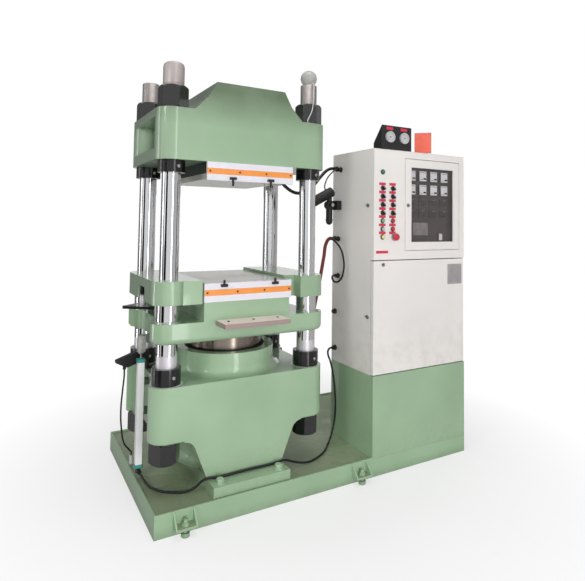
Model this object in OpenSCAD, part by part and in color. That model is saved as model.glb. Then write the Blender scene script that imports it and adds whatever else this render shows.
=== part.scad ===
// Four-column up-stroke hydraulic press for moulding brake pads, on a tray base with its
// oil tank and control cabinet. Millimetres, +Z up, the front towards -Y.
// The origin is the middle of the base's footprint, on the floor.

/* [Tray base] */
// Length of the tray
base_l = 1980; // [1900:10:2200]
// Depth of the tray from front to back
base_d = 1076; // [1040:2:1200]
// Height of the tray's rim above the floor
base_h = 108; // [90:1:140]
// Thickness of the tray's plates
tray_t = 8; // [6:1:12]
// Depth of the deck below the rim
deck_drop = 8; // [4:1:14]

/* [Press frame] */
// Distance from the tray's left end to the press's centre line
press_inset = 503; // [500:1:560]
// Distance from the tray's front to the press's centre line
press_setback = 448; // [440:1:520]
// Distance between the columns from left to right
pitch_x = 812; // [780:1:840]
// Distance between the columns from front to back
pitch_y = 478; // [460:1:520]
// Diameter of a column
col_d = 96; // [80:1:104]
// Radius of the corner lobes round each column
lobe_r = 88; // [84:1:96]
// Height of the columns' tops above the floor
col_top = 2258; // [2240:1:2320]
// Depth of the waists in the ends of the castings
waist = 60; // [40:1:70]

/* [Lower casting] */
// Height of the column lugs' undersides
lug_z = 357; // [330:1:380]
// Height of the casting's top at the columns
cast_z = 631; // [610:1:660]
// Diameter of the cylinder's boss
boss_d = 560; // [520:2:600]
// Height of the boss's rim
boss_z = 748; // [735:1:760]
// Diameter of the cylinder's body under the casting
cyl_d = 500; // [480:1:530]
// Width of the foot plate
foot_w = 424; // [400:2:460]
// Depth of the foot plate
foot_d = 856; // [800:2:860]
// Thickness of the foot plate
foot_t = 54; // [40:1:70]
// Thickness of the front and back legs
leg_t = 70; // [50:1:90]

/* [Ram and platen] */
// Diameter of the ram
ram_d = 420; // [380:1:421]
// Running clearance of the ram and the guides, on the radius
run_gap = 0.5; // [0.3:0.1:1.5]
// Height of the platen's underside when it is down
platen_z = 834; // [824:1:860]
// Thickness of the platen's lugs
platen_t = 104; // [90:1:120]
// Height of the platen's middle block above its lugs
block_h = 102; // [90:1:120]
// Width of the middle block and the heating plates
plate_w = 490; // [460:2:510]
// Depth of the heating plates
plate_d = 620; // [560:2:630]
// Thickness of the lower heating plate
lower_plate_t = 92; // [70:1:100]
// Height of the side rails' undersides above the platen's lugs
rail_gap = 90; // [80:1:100]
// Thickness of the side rails
rail_t = 118; // [100:1:130]
// Gap from a side rail to the guard
rail_side_gap = 10; // [6:1:16]

/* [Upper beam] */
// Height of the beam's underside
beam_z = 1755; // [1740:1:1790]
// Height of the beam at its ends
beam_h = 265; // [250:1:280]
// Height of the hump's top above the beam's ends
hump_h = 155; // [130:1:170]
// Half width of the hump's top
hump_top_w = 200; // [180:1:220]
// Half width of the hump's foot
hump_foot_w = 315; // [300:1:320]
// Thickness of the beam's floor at its ends
beam_floor_t = 60; // [50:1:70]
// Thickness of the beam's roof at its ends
beam_roof_t = 42; // [36:1:50]
// Thickness of the beam's front and back walls
beam_wall_t = 60; // [40:1:70]
// Thickness of the insulation under the beam
insulation_t = 60; // [50:1:70]
// Thickness of the upper heating plate
upper_plate_t = 30; // [24:1:36]

/* [Nuts and sleeves] */
// Width across the flats of the hexagon nuts
hex_af = 136; // [130:1:144]
// Height of the upper hexagon nuts
upper_nut_h = 118; // [100:1:130]
// Height of the lower hexagon nuts
lower_nut_h = 107; // [90:1:115]
// Diameter of the round lock nuts
lock_d = 146; // [140:1:156]
// Height of the round lock nuts
lock_h = 83; // [70:1:90]
// Wall of the stop sleeves under the platen's lugs
stop_wall = 4.5; // [4:0.5:8]
// Wall of the spacer sleeves over the platen
spacer_wall = 10; // [8:0.5:14]

/* [Guards and shelf] */
// Width of the white guards
guard_w = 500; // [480:2:516]
// Height of the guards
guard_h = 96; // [80:1:100]
// Thickness of the guards
guard_t = 14; // [8:1:18]
// Height of the orange strip on a guard
strip_h = 29; // [20:1:36]
// Width of the loading shelf
shelf_w = 366; // [300:2:400]
// Depth of the loading shelf
shelf_d = 134; // [100:1:150]
// Thickness of the loading shelf
shelf_t = 24; // [16:1:30]

/* [Cabinet] */
// Gap from the press's castings to the cabinet
cab_gap = 243; // [200:1:300]
// Width of the cabinet and tank
cab_w = 740; // [700:2:760]
// Depth of the cabinet and tank
cab_d = 432; // [400:2:460]
// Height of the tank's top above the floor
tank_z = 565; // [540:1:590]
// Height of the line between the doors
split_z = 1232; // [1210:1:1250]
// Height of the cabinet's top
cab_top = 1891; // [1860:1:1930]
// Thickness of the cabinet's sheet
sheet_t = 6; // [4:1:8]
// Gap round the doors
door_gap = 5; // [3:0.5:8]
// Thickness of the doors
door_t = 24; // [20:1:30]
// Width of the controls' field at the left of the window
controls_w = 240; // [226:1:260]
// Width of the panel's edge round the window
window_margin = 44; // [36:1:54]
// Width of the window's frame
frame_w = 50; // [40:1:60]

/* [Hidden] */
$fn = 64;
eps = 0.01;
seat_gap = 0.3;
press_x = press_inset - base_l / 2;
press_y = press_setback - base_d / 2;
front_y = -base_d / 2;
deck_z = base_h - deck_drop;
hx = pitch_x / 2;
hy = pitch_y / 2;
half_x = hx + lobe_r;
half_y = hy + lobe_r;
beam_top = beam_z + beam_h;
foot_top = deck_z + foot_t;
stop_z = cast_z + lock_h;
platen_top = platen_z + platen_t;
block_top = platen_top + block_h;
lower_face = block_top + lower_plate_t;
rail_z = platen_top + rail_gap;
upper_face = beam_z - insulation_t - upper_plate_t;
guard_y = -half_y - guard_t;
cab_x = press_x + half_x + cab_gap;
cab_y = front_y;
wall_y = door_t + door_gap;
col_bottom = lug_z - lower_nut_h - 6;

// Frame colours
paint = [0.56, 0.68, 0.55];
white = [0.88, 0.87, 0.85];
black = [0.08, 0.08, 0.08];
chrome = [0.75, 0.76, 0.78];
steel = [0.6, 0.59, 0.58];
orange = [0.95, 0.55, 0.2];
brick = [0.45, 0.16, 0.1];

module at_press() { translate([press_x, press_y, 0]) children(); }
module at_cabinet() { translate([cab_x, cab_y, 0]) children(); }
module at_columns() { for (x = [-hx, hx], y = [-hy, hy]) translate([x, y, 0]) children(); }

// Box between two corners
module span(a, b) { translate(a) cube(b - a); }

// Rod along Z between two heights
module rod(d, z0, z1) { translate([0, 0, z0]) cylinder(d = d, h = z1 - z0); }

// Ring along Z between two heights
module ring(d, bore, z0, z1) {
    difference() {
        rod(d, z0, z1);
        rod(bore, z0 - 1, z1 + 1);
    }
}

// Hexagon nut along Z between two heights, chamfered at both ends
module hex_nut(af, bore, z0, z1) {
    corner = af / cos(30);
    bevel = (corner - af) / 2;
    difference() {
        intersection() {
            translate([0, 0, z0]) cylinder(d = corner, h = z1 - z0, $fn = 6);
            rotate_extrude() polygon([[0, z0], [af / 2, z0], [corner / 2, z0 + bevel],
                                      [corner / 2, z1 - bevel], [af / 2, z1], [0, z1]]);
        }
        rod(bore, z0 - 1, z1 + 1);
    }
}

// Plan of the frame: four lobes joined by flat sides
module lobed_plan() {
    square([2 * hx, 2 * half_y], center = true);
    square([2 * half_x, 2 * hy], center = true);
    at_columns() circle(lobe_r);
}

// Half widths w, heights z0 to z1, with the lower corners rounded
module slab_section(w, z0, z1, r) {
    translate([-w, z0 + r]) square([2 * w, z1 - z0 - r]);
    translate([r - w, z0]) square([2 * (w - r), z1 - z0]);
    for (s = [-1, 1]) translate([s * (w - r), z0 + r]) circle(r);
}

// Slab of the lobed plan with its lower edges rounded and a waist cut in each end
module waisted_slab(z0, z1, r) {
    difference() {
        union() {
            rotate([90, 0, 90]) linear_extrude(2 * hx, center = true) slab_section(half_y, z0, z1, r);
            rotate([90, 0, 0]) linear_extrude(2 * hy, center = true) slab_section(half_x, z0, z1, r);
            at_columns() rotate_extrude() intersection() {
                slab_section(lobe_r, z0, z1, r);
                translate([0, z0 - 1]) square([lobe_r + 1, z1 - z0 + 2]);
            }
        }
        for (s = [-1, 1]) translate([s * half_x, 0, z0 - 1]) linear_extrude(z1 - z0 + 2) waist_plan();
    }
}

waist_r = 30;
waist_y = hy - sqrt(lobe_r * lobe_r - pow(lobe_r - waist, 2));
module waist_plan() {
    square([2 * waist, 2 * (waist_y - waist_r)], center = true);
    square([2 * (waist - waist_r), 2 * waist_y], center = true);
    for (x = [-1, 1], y = [-1, 1])
        translate([x * (waist - waist_r), y * (waist_y - waist_r)]) circle(waist_r);
    square([2 * (waist - waist_r), 2 * hy], center = true);
}

// Tray: a rim with a gap for the tank, a deck just under its top and cross bars under the deck
module base_tray() color(paint) {
    difference() {
        span([-base_l / 2, -base_d / 2, 0], [base_l / 2, base_d / 2, base_h]);
        span([tray_t - base_l / 2, tray_t - base_d / 2, deck_z],
             [base_l / 2 - tray_t, base_d / 2 - tray_t, base_h + 1]);
        span([tray_t - base_l / 2, tray_t - base_d / 2, -1],
             [base_l / 2 - tray_t, base_d / 2 - tray_t, deck_z - tray_t]);
        at_cabinet() span([0, -1, deck_z], [cab_w + 1, cab_d, base_h + 1]);
    }
    for (x = [-2, -1, 0, 1, 2]) {
        bar_x = x * base_l / 6;
        span([bar_x - 4 * tray_t, tray_t - base_d / 2 - eps, 0],
             [bar_x + 4 * tray_t, base_d / 2 - tray_t + eps, deck_z - tray_t + eps]);
    }
}

bracket_insets = [138, 1147];
bracket_w = 104;
bracket_d = 55;
bracket_z = 36;
bracket_plate_t = 12;
level_bolt_d = 20;
module at_brackets() {
    for (x = bracket_insets, s = [0, 1])
        mirror([0, s, 0]) translate([x - base_l / 2, -base_d / 2, 0]) children();
}

// Foot plates with two gussets, welded on the tray's front and back
module levelling_brackets() color(paint) at_brackets() {
    difference() {
        span([-bracket_w / 2, -bracket_d, bracket_z], [bracket_w / 2, 0, bracket_z + bracket_plate_t]);
        translate([0, -bracket_d / 2, 0]) rod(level_bolt_d + 2 * run_gap, 0, base_h);
    }
    for (x = [-bracket_w / 2, bracket_w / 2 - tray_t]) translate([x, 0, bracket_z + bracket_plate_t])
        rotate([90, 0, 90]) linear_extrude(tray_t)
            polygon([[0, -eps], [0, base_h - bracket_z - bracket_plate_t], [-bracket_d, -eps]]);
}

// Levelling bolts with round feet on the floor
module levelling_bolts() color(steel) at_brackets() translate([0, -bracket_d / 2, 0]) {
    rod(2 * level_bolt_d, 0, bracket_z / 2);
    rod(level_bolt_d, 0, bracket_z + bracket_plate_t + 30);
    translate([0, 0, bracket_z + bracket_plate_t]) cylinder(d = 34, h = 14, $fn = 6);
}

lug_round = 12;
arch_r = 60;
leg_taper = 86;
// Front view of the casting's leg, which widens upwards and runs into the block in two arches
module leg_outline() {
    foot_half = foot_w / 2 - 2;
    leg_top = lug_z + lug_round;
    leg_h = leg_top - foot_top;
    out_x = leg_h / norm([leg_taper, leg_h]);
    out_z = leg_taper / norm([leg_taper, leg_h]);
    arch_z = lug_z - arch_r;
    arch_x = foot_half + (arch_r + (arch_z - foot_top) * out_z) / out_x;
    spring_z = arch_z + arch_r * out_z;
    polygon([[-foot_half, foot_top - eps], [foot_half, foot_top - eps],
             [foot_half + leg_taper, leg_top], [-foot_half - leg_taper, leg_top]]);
    difference() {
        translate([-arch_x, spring_z]) square([2 * arch_x, leg_top - spring_z]);
        for (x = [-arch_x, arch_x]) translate([x, arch_z]) circle(arch_r);
    }
}

// Rod of diameter d with a concave fillet of radius r round its foot
module flared_rod(d, z0, z1, r) {
    rotate_extrude() {
        translate([0, z0]) square([d / 2, z1 - z0]);
        difference() {
            translate([0, z0]) square([d / 2 + r - 4, r]);
            translate([d / 2 + r, z0 + r]) circle(r);
        }
    }
}

boss_fillet = 44;
foot_fillet = 40;
// Lower casting: lobed block, cylinder boss with a filleted foot, arched legs and foot plate
module lower_casting() color(paint) at_press() difference() {
    union() {
        waisted_slab(lug_z, cast_z, lug_round);
        for (s = [-1, 1]) translate([0, s * (half_y - leg_t / 2), 0])
            rotate([90, 0, 0]) linear_extrude(leg_t, center = true) leg_outline();
        flared_rod(cyl_d, foot_top - eps, lug_z + lug_round, foot_fillet);
        flared_rod(boss_d, cast_z - eps, boss_z, boss_fillet);
        span([-foot_w / 2, -foot_d / 2, deck_z], [foot_w / 2, foot_d / 2, foot_top]);
    }
    rod(ram_d + 2 * run_gap, foot_top - foot_t / 2, boss_z + 1);
    rod(ram_d + 2 * wiper_w, boss_z - wiper_h, boss_z + 1);
    at_columns() rod(col_d + 2 * seat_gap, lug_z - 1, cast_z + 1);
}

wiper_w = 18;
wiper_h = 14;
// Wiper ring let into the boss's rim round the ram
module ram_wiper() color(black) at_press()
    ring(ram_d + 2 * wiper_w - 2 * seat_gap, ram_d + 2 * run_gap, boss_z - wiper_h, boss_z + 3);

// Chromed columns, threaded at both ends
module columns() color(chrome) at_press() at_columns() {
    difference() {
        rod(col_d, col_bottom, col_top);
        translate([0, 0, col_top - 6]) ring(col_d + 2, col_d - 8, 3, 8);
    }
}

nut_turn = 36;
module upper_hex_nuts() color(black) at_press() at_columns() rotate([0, 0, nut_turn])
    hex_nut(hex_af, col_d + 2 * seat_gap, beam_top, beam_top + upper_nut_h);

collar_h = 62;
module beam_lock_nuts() color(black) at_press() at_columns()
    ring(lock_d - 8, col_d + 2 * seat_gap, beam_z - collar_h, beam_z);

module lower_lock_nuts() color(black) at_press() at_columns()
    ring(lock_d, col_d + 2 * seat_gap, cast_z, stop_z);

module lower_hex_nuts() color(black) at_press() at_columns()
    hex_nut(hex_af, col_d + 2 * seat_gap, lug_z - lower_nut_h, lug_z);

// Stop sleeves, which stand on the lock nuts and carry the lowered platen
module stop_sleeves() color(chrome) at_press() at_columns()
    ring(col_d + 2 * stop_wall, col_d + 2 * seat_gap, stop_z, platen_z - seat_gap);

kink_w = 246;
kink_h = 73;
// Front view of the upper beam's middle with its hump
module hump_outline() {
    polygon([[-hump_foot_w, beam_z], [hump_foot_w, beam_z], [hump_foot_w, beam_top],
             [kink_w, beam_top + kink_h], [hump_top_w, beam_top + hump_h],
             [-hump_top_w, beam_top + hump_h], [-kink_w, beam_top + kink_h], [-hump_foot_w, beam_top]]);
}

// Upper beam: closed box with a hump, open bays at both ends between the column bosses
module upper_beam() color(paint) at_press() difference() {
    union() {
        translate([0, 0, beam_z]) linear_extrude(beam_h) lobed_plan();
        rotate([90, 0, 0]) linear_extrude(2 * half_y, center = true) hump_outline();
    }
    for (s = [-1, 1]) translate([s * (hump_foot_w + half_x + 1) / 2, 0, 0]) {
        bay = half_x - hump_foot_w + 1;
        difference() {
            span([-bay / 2, beam_wall_t - half_y, beam_z + beam_floor_t],
                 [bay / 2, half_y - beam_wall_t, beam_top - beam_roof_t]);
            for (y = [-hy, hy]) translate([s * (hx - (hump_foot_w + half_x + 1) / 2), y, 0])
                rod(2 * lobe_r, beam_z, beam_top);
        }
    }
    at_columns() rod(col_d + 2 * seat_gap, beam_z - 1, beam_top + 1);
}

module upper_insulation() color([0.75, 0.72, 0.65]) at_press()
    span([-plate_w / 2, -half_y, beam_z - insulation_t], [plate_w / 2, plate_d - half_y, beam_z]);

module upper_heat_plate() color(steel) at_press()
    span([-plate_w / 2, -half_y, upper_face], [plate_w / 2, plate_d - half_y, beam_z - insulation_t]);

// Guard board in front of a heating plate; the strip is let into its face
strip_depth = 3;
module guard(z) {
    difference() {
        span([-guard_w / 2, guard_y, z], [guard_w / 2, -half_y, z + guard_h]);
        strip(z, seat_gap);
    }
}
module strip(z, gap) {
    span([-guard_w / 2 - (gap > 0 ? 1 : 0), guard_y - (gap > 0 ? 1 : 0), z + (guard_h - strip_h) / 2 - gap],
         [guard_w / 2 + (gap > 0 ? 1 : 0), guard_y + strip_depth, z + (guard_h + strip_h) / 2 + gap]);
}
upper_guard_z = beam_z - guard_h - 1;
lower_guard_z = lower_face - guard_h;
module upper_guard() color(white) at_press() guard(upper_guard_z);
module upper_guard_strip() color(orange) at_press() strip(upper_guard_z, 0);
module lower_guard() color(white) at_press() guard(lower_guard_z);
module lower_guard_strip() color(orange) at_press() strip(lower_guard_z, 0);

knob_w = 36;
knob_t = 14;
knob_stem_d = 12;
upper_stem_l = 46;
lower_stem_l = 34;
// Clamp knob on a guard's face: a cross bar with a stem along +Z
module clamp_knob(stem_l) {
    span([-knob_w / 2, -knob_t, 0], [knob_w / 2, 0, knob_t]);
    translate([0, -knob_t / 2, 0]) rod(knob_stem_d, knob_t - eps, stem_l);
}
upper_knob_x = 110;
lower_knob_x = 147;
knob_inset = 6;
module upper_mould_knobs() color(black) at_press() for (x = [-upper_knob_x, upper_knob_x])
    translate([x, guard_y, upper_guard_z + knob_inset + knob_t]) mirror([0, 0, 1]) clamp_knob(upper_stem_l);
module lower_mould_knobs() color(black) at_press() for (x = [-lower_knob_x, lower_knob_x])
    translate([x, guard_y, lower_guard_z + guard_h - knob_inset - knob_t]) clamp_knob(lower_stem_l);

ram_z = foot_top + 10;
module ram() color(steel) at_press() rod(ram_d, ram_z, platen_z);

platen_round = 28;
// Moving platen: lobed plate with waists and rounded lower edges, and a middle block
module moving_platen() color(paint) at_press() difference() {
    union() {
        waisted_slab(platen_z, platen_top, platen_round);
        span([-plate_w / 2, -half_y, platen_top - eps], [plate_w / 2, half_y, block_top]);
    }
    at_columns() rod(col_d + 2 * run_gap, platen_z - 1, platen_top + 1);
}

module lower_heat_plate() color(steel) at_press()
    span([-plate_w / 2, -half_y, block_top], [plate_w / 2, plate_d - half_y, lower_face]);

module spacer_sleeves() color(chrome) at_press() at_columns()
    ring(col_d + 2 * spacer_wall, col_d + 2 * run_gap, platen_top, rail_z);

rail_inner = plate_w / 2 + rail_side_gap;
slot_y = -37;
slot_w = 145;
slot_h = 72;
slot_depth = 70;
slot_round = 16;
rail_groove = 38;
right_block_setback = 80;
// Side rail: a bar over two column bosses with an inner block, and a slot outside, open below
module side_rail(block_y) difference() {
    translate([0, 0, rail_z]) linear_extrude(rail_t) {
        translate([-half_x, -hy]) square([half_x - rail_inner, 2 * hy]);
        translate([lobe_r - hx - rail_groove, block_y])
            square([hx - lobe_r + rail_groove - rail_inner, half_y - block_y]);
        for (y = [-hy, hy]) translate([-hx, y]) circle(lobe_r);
        if (block_y > -half_y) translate([-hx, -half_y]) square([lobe_r, half_y]);
    }
    for (y = [-hy, hy]) translate([-hx, y, 0]) rod(col_d + 2 * run_gap, rail_z - 1, rail_z + rail_t + 1);
    translate([-half_x - 1, slot_y, rail_z]) rotate([90, 0, 90]) linear_extrude(slot_depth + 1) slot_outline();
}
module slot_outline() {
    translate([-slot_w / 2, -1]) square([slot_w, slot_h - slot_round + 1]);
    translate([slot_round - slot_w / 2, 0]) square([slot_w - 2 * slot_round, slot_h]);
    for (s = [-1, 1]) translate([s * (slot_w / 2 - slot_round), slot_h - slot_round]) circle(slot_round);
}
module left_rail() color(paint) at_press() side_rail(-half_y);
module right_rail() color(paint) at_press() mirror([1, 0, 0]) side_rail(right_block_setback - half_y);

module loading_shelf() color(steel) at_press()
    span([-shelf_w / 2, -half_y - shelf_d, platen_top + 4 - shelf_t],
         [shelf_w / 2, -half_y, platen_top + 4]);

striker_z = rail_z - 48;
striker_t = 14;
striker_reach = 85;
striker_w = 216;
stud_d = 28;
// Striker: a pointed plate held under the left rail by a stud in the rail's slot
module striker_plate() color(black) at_press() {
    translate([0, 0, striker_z]) linear_extrude(striker_t)
        polygon([[-half_x - striker_reach, -8], [-half_x - striker_reach, 8], [-half_x - 30, 45],
                 [-half_x + 54, striker_w / 2], [-half_x + 54, -striker_w / 2], [-half_x - 30, -45]]);
    translate([sensor_x, 0, 0]) rod(stud_d, striker_z + striker_t - eps, rail_z + slot_h);
}

sensor_x = -476;
sensor_w = 36;
sensor_z0 = deck_z + 41;
sensor_z1 = 707;
sensor_rod_d = 10;
cap_w = 42;
cap_h = 16;
connector_d = 22;
connector_l = 26;
connector_z = sensor_z0 - 14;
// Stroke sensor: a white body with end caps, clipped to the casting's waist, with a connector at its foot
module stroke_sensor() color(white) at_press() difference() {
    union() {
        span([sensor_x - sensor_w / 2, -sensor_w / 2, sensor_z0],
             [sensor_x + sensor_w / 2, sensor_w / 2, sensor_z1]);
        for (z = [sensor_z0, sensor_z1 - cap_h])
            span([sensor_x - cap_w / 2, -cap_w / 2, z], [sensor_x + cap_w / 2, cap_w / 2, z + cap_h]);
        for (z = [lug_z + 60, cast_z - 60])
            span([sensor_x + sensor_w / 2 - eps, -20, z], [-half_x + waist, 20, z + 30]);
        translate([sensor_x, 0, 0]) rod(connector_d + 4, connector_z - connector_d / 2 - 2, sensor_z0 + eps);
        translate([sensor_x, 0, connector_z]) rotate([90, 0, 0])
            rod(connector_d, 0, connector_d / 2 + connector_l);
    }
    translate([sensor_x, 0, 0]) rod(sensor_rod_d + 2, sensor_z0 + 30, sensor_z1 + 1);
}

// Sensor rod with its eye, hung from the platen's waist
module stroke_sensor_rod() color(steel) at_press() {
    translate([sensor_x, 0, 0]) {
        rod(sensor_rod_d, sensor_z0 + 60, platen_z - 40);
        rod(26, platen_z - 100, platen_z - 40);
    }
    span([sensor_x - 15, -15, platen_z - 42], [-half_x + waist + 20, 15, platen_z]);
}

switch_y = 80;
switch_z = 700;
switch_t = 34;
switch_reach = 98;
// Down-position switch: a pointed housing on a foot on the casting's top, with its cable's gland below
module switch_bracket() color(black) at_press() translate([-half_x, switch_y, 0]) {
    rotate([90, 0, 0]) linear_extrude(switch_t, center = true)
        polygon([[-switch_reach, switch_z - 20], [-switch_reach, switch_z - 8], [8, switch_z + 30],
                 [waist + 16, switch_z + 30], [waist + 16, cast_z], [waist + 4, cast_z],
                 [waist + 4, switch_z - 20], [8, switch_z - 34], [-38, switch_z - 50]]);
    span([waist + 4, -switch_t / 2, cast_z], [waist + 46, switch_t / 2, cast_z + 8]);
    translate([-50, 0, 0]) rod(18, switch_z - 60, switch_z);
}

module oil_tank() color(paint) at_cabinet()
    span([0, 0, deck_z], [cab_w, cab_d, tank_z]);

module cabinet_walls() color(white) at_cabinet() for (x = [0, cab_w - sheet_t])
    span([x, wall_y, tank_z], [x + sheet_t, cab_d - sheet_t, cab_top - sheet_t]);

module cabinet_roof() color(white) at_cabinet()
    span([0, 0, cab_top - sheet_t], [cab_w, cab_d, cab_top]);

module cabinet_back() color(white) at_cabinet()
    span([0, cab_d - sheet_t, tank_z], [cab_w, cab_d, cab_top - sheet_t]);

window_x0 = controls_w;
window_x1 = cab_w - window_margin;
window_z0 = split_z + window_margin + 11;
window_z1 = cab_top - window_margin - 2;
leaf_t = 18;
leaf_gap = 3;
leaf_lip = 14;
glass_t = 4;
glass_rebate = 8;
glass_y = 10;
// Upper front panel with a stepped opening for the window's leaf
module control_panel() color(white) at_cabinet() difference() {
    span([0, 0, split_z], [cab_w, wall_y, cab_top - sheet_t]);
    window_hole(-leaf_gap, -1, leaf_t);
    window_hole(leaf_lip, -1, wall_y + 1);
}

// Window's leaf, flush in the panel, with a rebate for the glass
module window_frame() color(white) at_cabinet() difference() {
    span([window_x0, 0, window_z0], [window_x1, leaf_t, window_z1]);
    window_hole(frame_w, -1, leaf_t + 1);
    window_hole(frame_w - glass_rebate, glass_y, leaf_t + 1);
}
module window_hole(inset, y0, y1) {
    span([window_x0 + inset, y0, window_z0 + inset], [window_x1 - inset, y1, window_z1 - inset]);
}

module window_glass() color([0.12, 0.13, 0.14]) at_cabinet()
    window_hole(frame_w - glass_rebate + seat_gap, glass_y, glass_y + glass_t);

instrument_t = 4;
// Dark mounting plate for the instruments, against the panel's back
module instrument_panel() color(black) at_cabinet()
    span([window_x0, wall_y, window_z0], [window_x1, wall_y + instrument_t, window_z1]);

controller_w = 60;
controller_h = 66;
controller_pitch = (window_x1 - window_x0) / 5;
controller_drops = [131, 217];
meter_drops = [289, 359];
instrument_inset = 40;
meter_h = 52;
instrument_h = 8;
display_x = 34;
display_w = 133;
display_h = 86;
switch_x = 2.8 * controller_pitch;
switch_w = 32;
switch_h = 50;
// Raised instrument with its lower left corner at x, z
module instrument(x, z, w, h) { span([x, wall_y - instrument_h, z], [x + w, wall_y, z + h]); }

// Two rows of temperature controllers, two rows of meters, a display and a switch
module panel_instruments() color([0.8, 0.82, 0.85]) at_cabinet() {
    first_x = window_x0 + instrument_inset;
    for (i = [0 : 3]) {
        x = first_x + i * controller_pitch;
        for (d = controller_drops) instrument(x, window_z1 - d, controller_w, controller_h);
        for (d = meter_drops) instrument(x, window_z1 - d, controller_w, meter_h);
    }
    instrument(first_x + display_x, window_z0 + 86, display_w, display_h);
    instrument(first_x + switch_x, window_z0 + 54, switch_w, switch_h);
}

bezel_d = 30;
bezel_h = 5;
control_xs = [62, 139];
selector_rows = [cab_top - 233, cab_top - 282, cab_top - 331, cab_top - 380];
button_rows = [cab_top - 427, cab_top - 476];
last_row = cab_top - 523;
pilot_z = cab_top - 138;
stop_button_x = 155;
stop_button_d = 40;
// Piece on the panel's face, its axis to the front
module on_panel(x, z) { translate([x, 0, z]) rotate([90, 0, 0]) children(); }

// Selector switch: bezel and a turned handle
module selector() {
    rod(bezel_d, 0, bezel_h);
    rod(24, bezel_h - eps, bezel_h + 10);
    rotate([0, 0, 35]) span([-4, -13, bezel_h], [4, 13, bezel_h + 18]);
}

// Push button: bezel and cap
module push_button() {
    rod(bezel_d, 0, bezel_h);
    rod(22, bezel_h - eps, bezel_h + 6);
}

// Pilot lamp, selectors, push buttons and the mushroom stop button
module panel_controls() color(black) at_cabinet() {
    on_panel(control_xs[0], pilot_z) push_button();
    for (x = control_xs, z = selector_rows) on_panel(x, z) selector();
    for (x = control_xs, z = button_rows) on_panel(x, z) push_button();
    on_panel(control_xs[0], last_row) push_button();
    on_panel(stop_button_x, last_row) {
        rod(bezel_d, 0, bezel_h + 8);
        rod(stop_button_d, bezel_h + 8 - eps, bezel_h + 20);
    }
}

lock_disc_d = 22;
window_lock_z = (window_z0 + window_z1) / 2 - 6;
latch_inset = 54;
latch_zs = [cab_top - 337, tank_z + 332];
// Quarter-turn lock: a disc with a bar
module quarter_turn_lock() {
    rod(lock_disc_d, 0, 5);
    span([-3, -9, 4], [3, 9, 10]);
}

// Locks of the window and of the cabinet's left side
module quarter_turn_locks() color(steel) at_cabinet() {
    on_panel(window_x0 + lock_disc_d, window_lock_z) quarter_turn_lock();
    for (z = latch_zs) translate([0, latch_inset, z]) rotate([0, -90, 0]) quarter_turn_lock();
}

pin_d = 10;
pin_x = cab_w - door_t / 2;
pin_y = door_t / 2;
pin_h = 30;
// Lower door, rounded round its pivots at the right edge
module lower_door() color(white) at_cabinet() difference() {
    union() {
        span([0, 0, tank_z + door_gap], [pin_x, door_t, split_z - door_gap]);
        translate([pin_x, pin_y, 0]) rod(door_t, tank_z + door_gap, split_z - door_gap);
    }
    for (z = [tank_z, split_z - pin_h - seat_gap])
        translate([pin_x, pin_y, 0]) rod(pin_d + 2 * seat_gap, z - 1, z + pin_h + seat_gap + 1);
}

// Pivot pins of the lower door, in the tank's top and the panel's lower edge
module door_pins() color(steel) at_cabinet() for (z = [tank_z, split_z - pin_h])
    translate([pin_x, pin_y, 0]) rod(pin_d, z, z + pin_h);

lower_lock_x = 70;
lower_lock_drop = 28;
module door_lock() color(steel) at_cabinet()
    on_panel(lower_lock_x, split_z - lower_lock_drop) quarter_turn_lock();

vent_w = 122;
vent_h = 127;
vent_t = 3;
vent_drop = 38;
slat_pitch = 12;
// Vent plate with raised slats on the lower door
module vent_plate() color([0.62, 0.6, 0.62]) at_cabinet() {
    x0 = pin_x - door_t / 2 - vent_w;
    z0 = split_z - vent_drop - vent_h;
    span([x0, -vent_t, z0], [x0 + vent_w, 0, z0 + vent_h]);
    for (i = [1 : floor(vent_h / slat_pitch) - 1])
        span([x0 + slat_pitch, -2 * vent_t, z0 + i * slat_pitch],
             [x0 + vent_w - slat_pitch, -vent_t + eps, z0 + i * slat_pitch + slat_pitch / 3]);
}

gauge_box_w = 232;
gauge_box_d = 78;
gauge_box_h = 148;
gauge_box_back_h = 46;
gauge_box_x = 62;
gauge_box_y = 8;
// Gauge box on the cabinet's roof: upright front, sloped back
module gauge_box() color(black) at_cabinet() translate([gauge_box_x, gauge_box_y, cab_top]) rotate([90, 0, 90])
    linear_extrude(gauge_box_w)
        polygon([[0, 0], [gauge_box_d, 0], [gauge_box_d, gauge_box_back_h], [0, gauge_box_h]]);

gauge_d = 68;
gauge_t = 12;
gauge_pitch = 110;
gauge_z = 78;
// Round gauges with a rim round a sunk dial
module pressure_gauges() color(steel) at_cabinet() for (s = [-0.5, 0.5])
    translate([gauge_box_x + gauge_box_w / 2 + s * gauge_pitch, gauge_box_y, cab_top + gauge_z])
        rotate([90, 0, 0]) difference() {
            rod(gauge_d, 0, gauge_t);
            rod(gauge_d - 10, gauge_t - 4, gauge_t + 1);
        }

signal_w = 104;
signal_d = 36;
signal_h = 137;
signal_pad_h = 10;
signal_turn = -45;
signal_x = 434;
signal_y = 55;
// Signal box on a small pad, turned towards the operator
module signal_box() color(orange) at_cabinet()
    translate([signal_x, signal_y, cab_top]) rotate([0, 0, signal_turn]) {
        span([-signal_w / 4, -signal_d / 2, 0], [signal_w / 4, signal_d / 2, signal_pad_h]);
        span([-signal_w / 2, -signal_d / 2, signal_pad_h - eps], [signal_w / 2, signal_d / 2, signal_h]);
    }

lamp_d = 97;
lamp_sink = 5;
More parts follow.
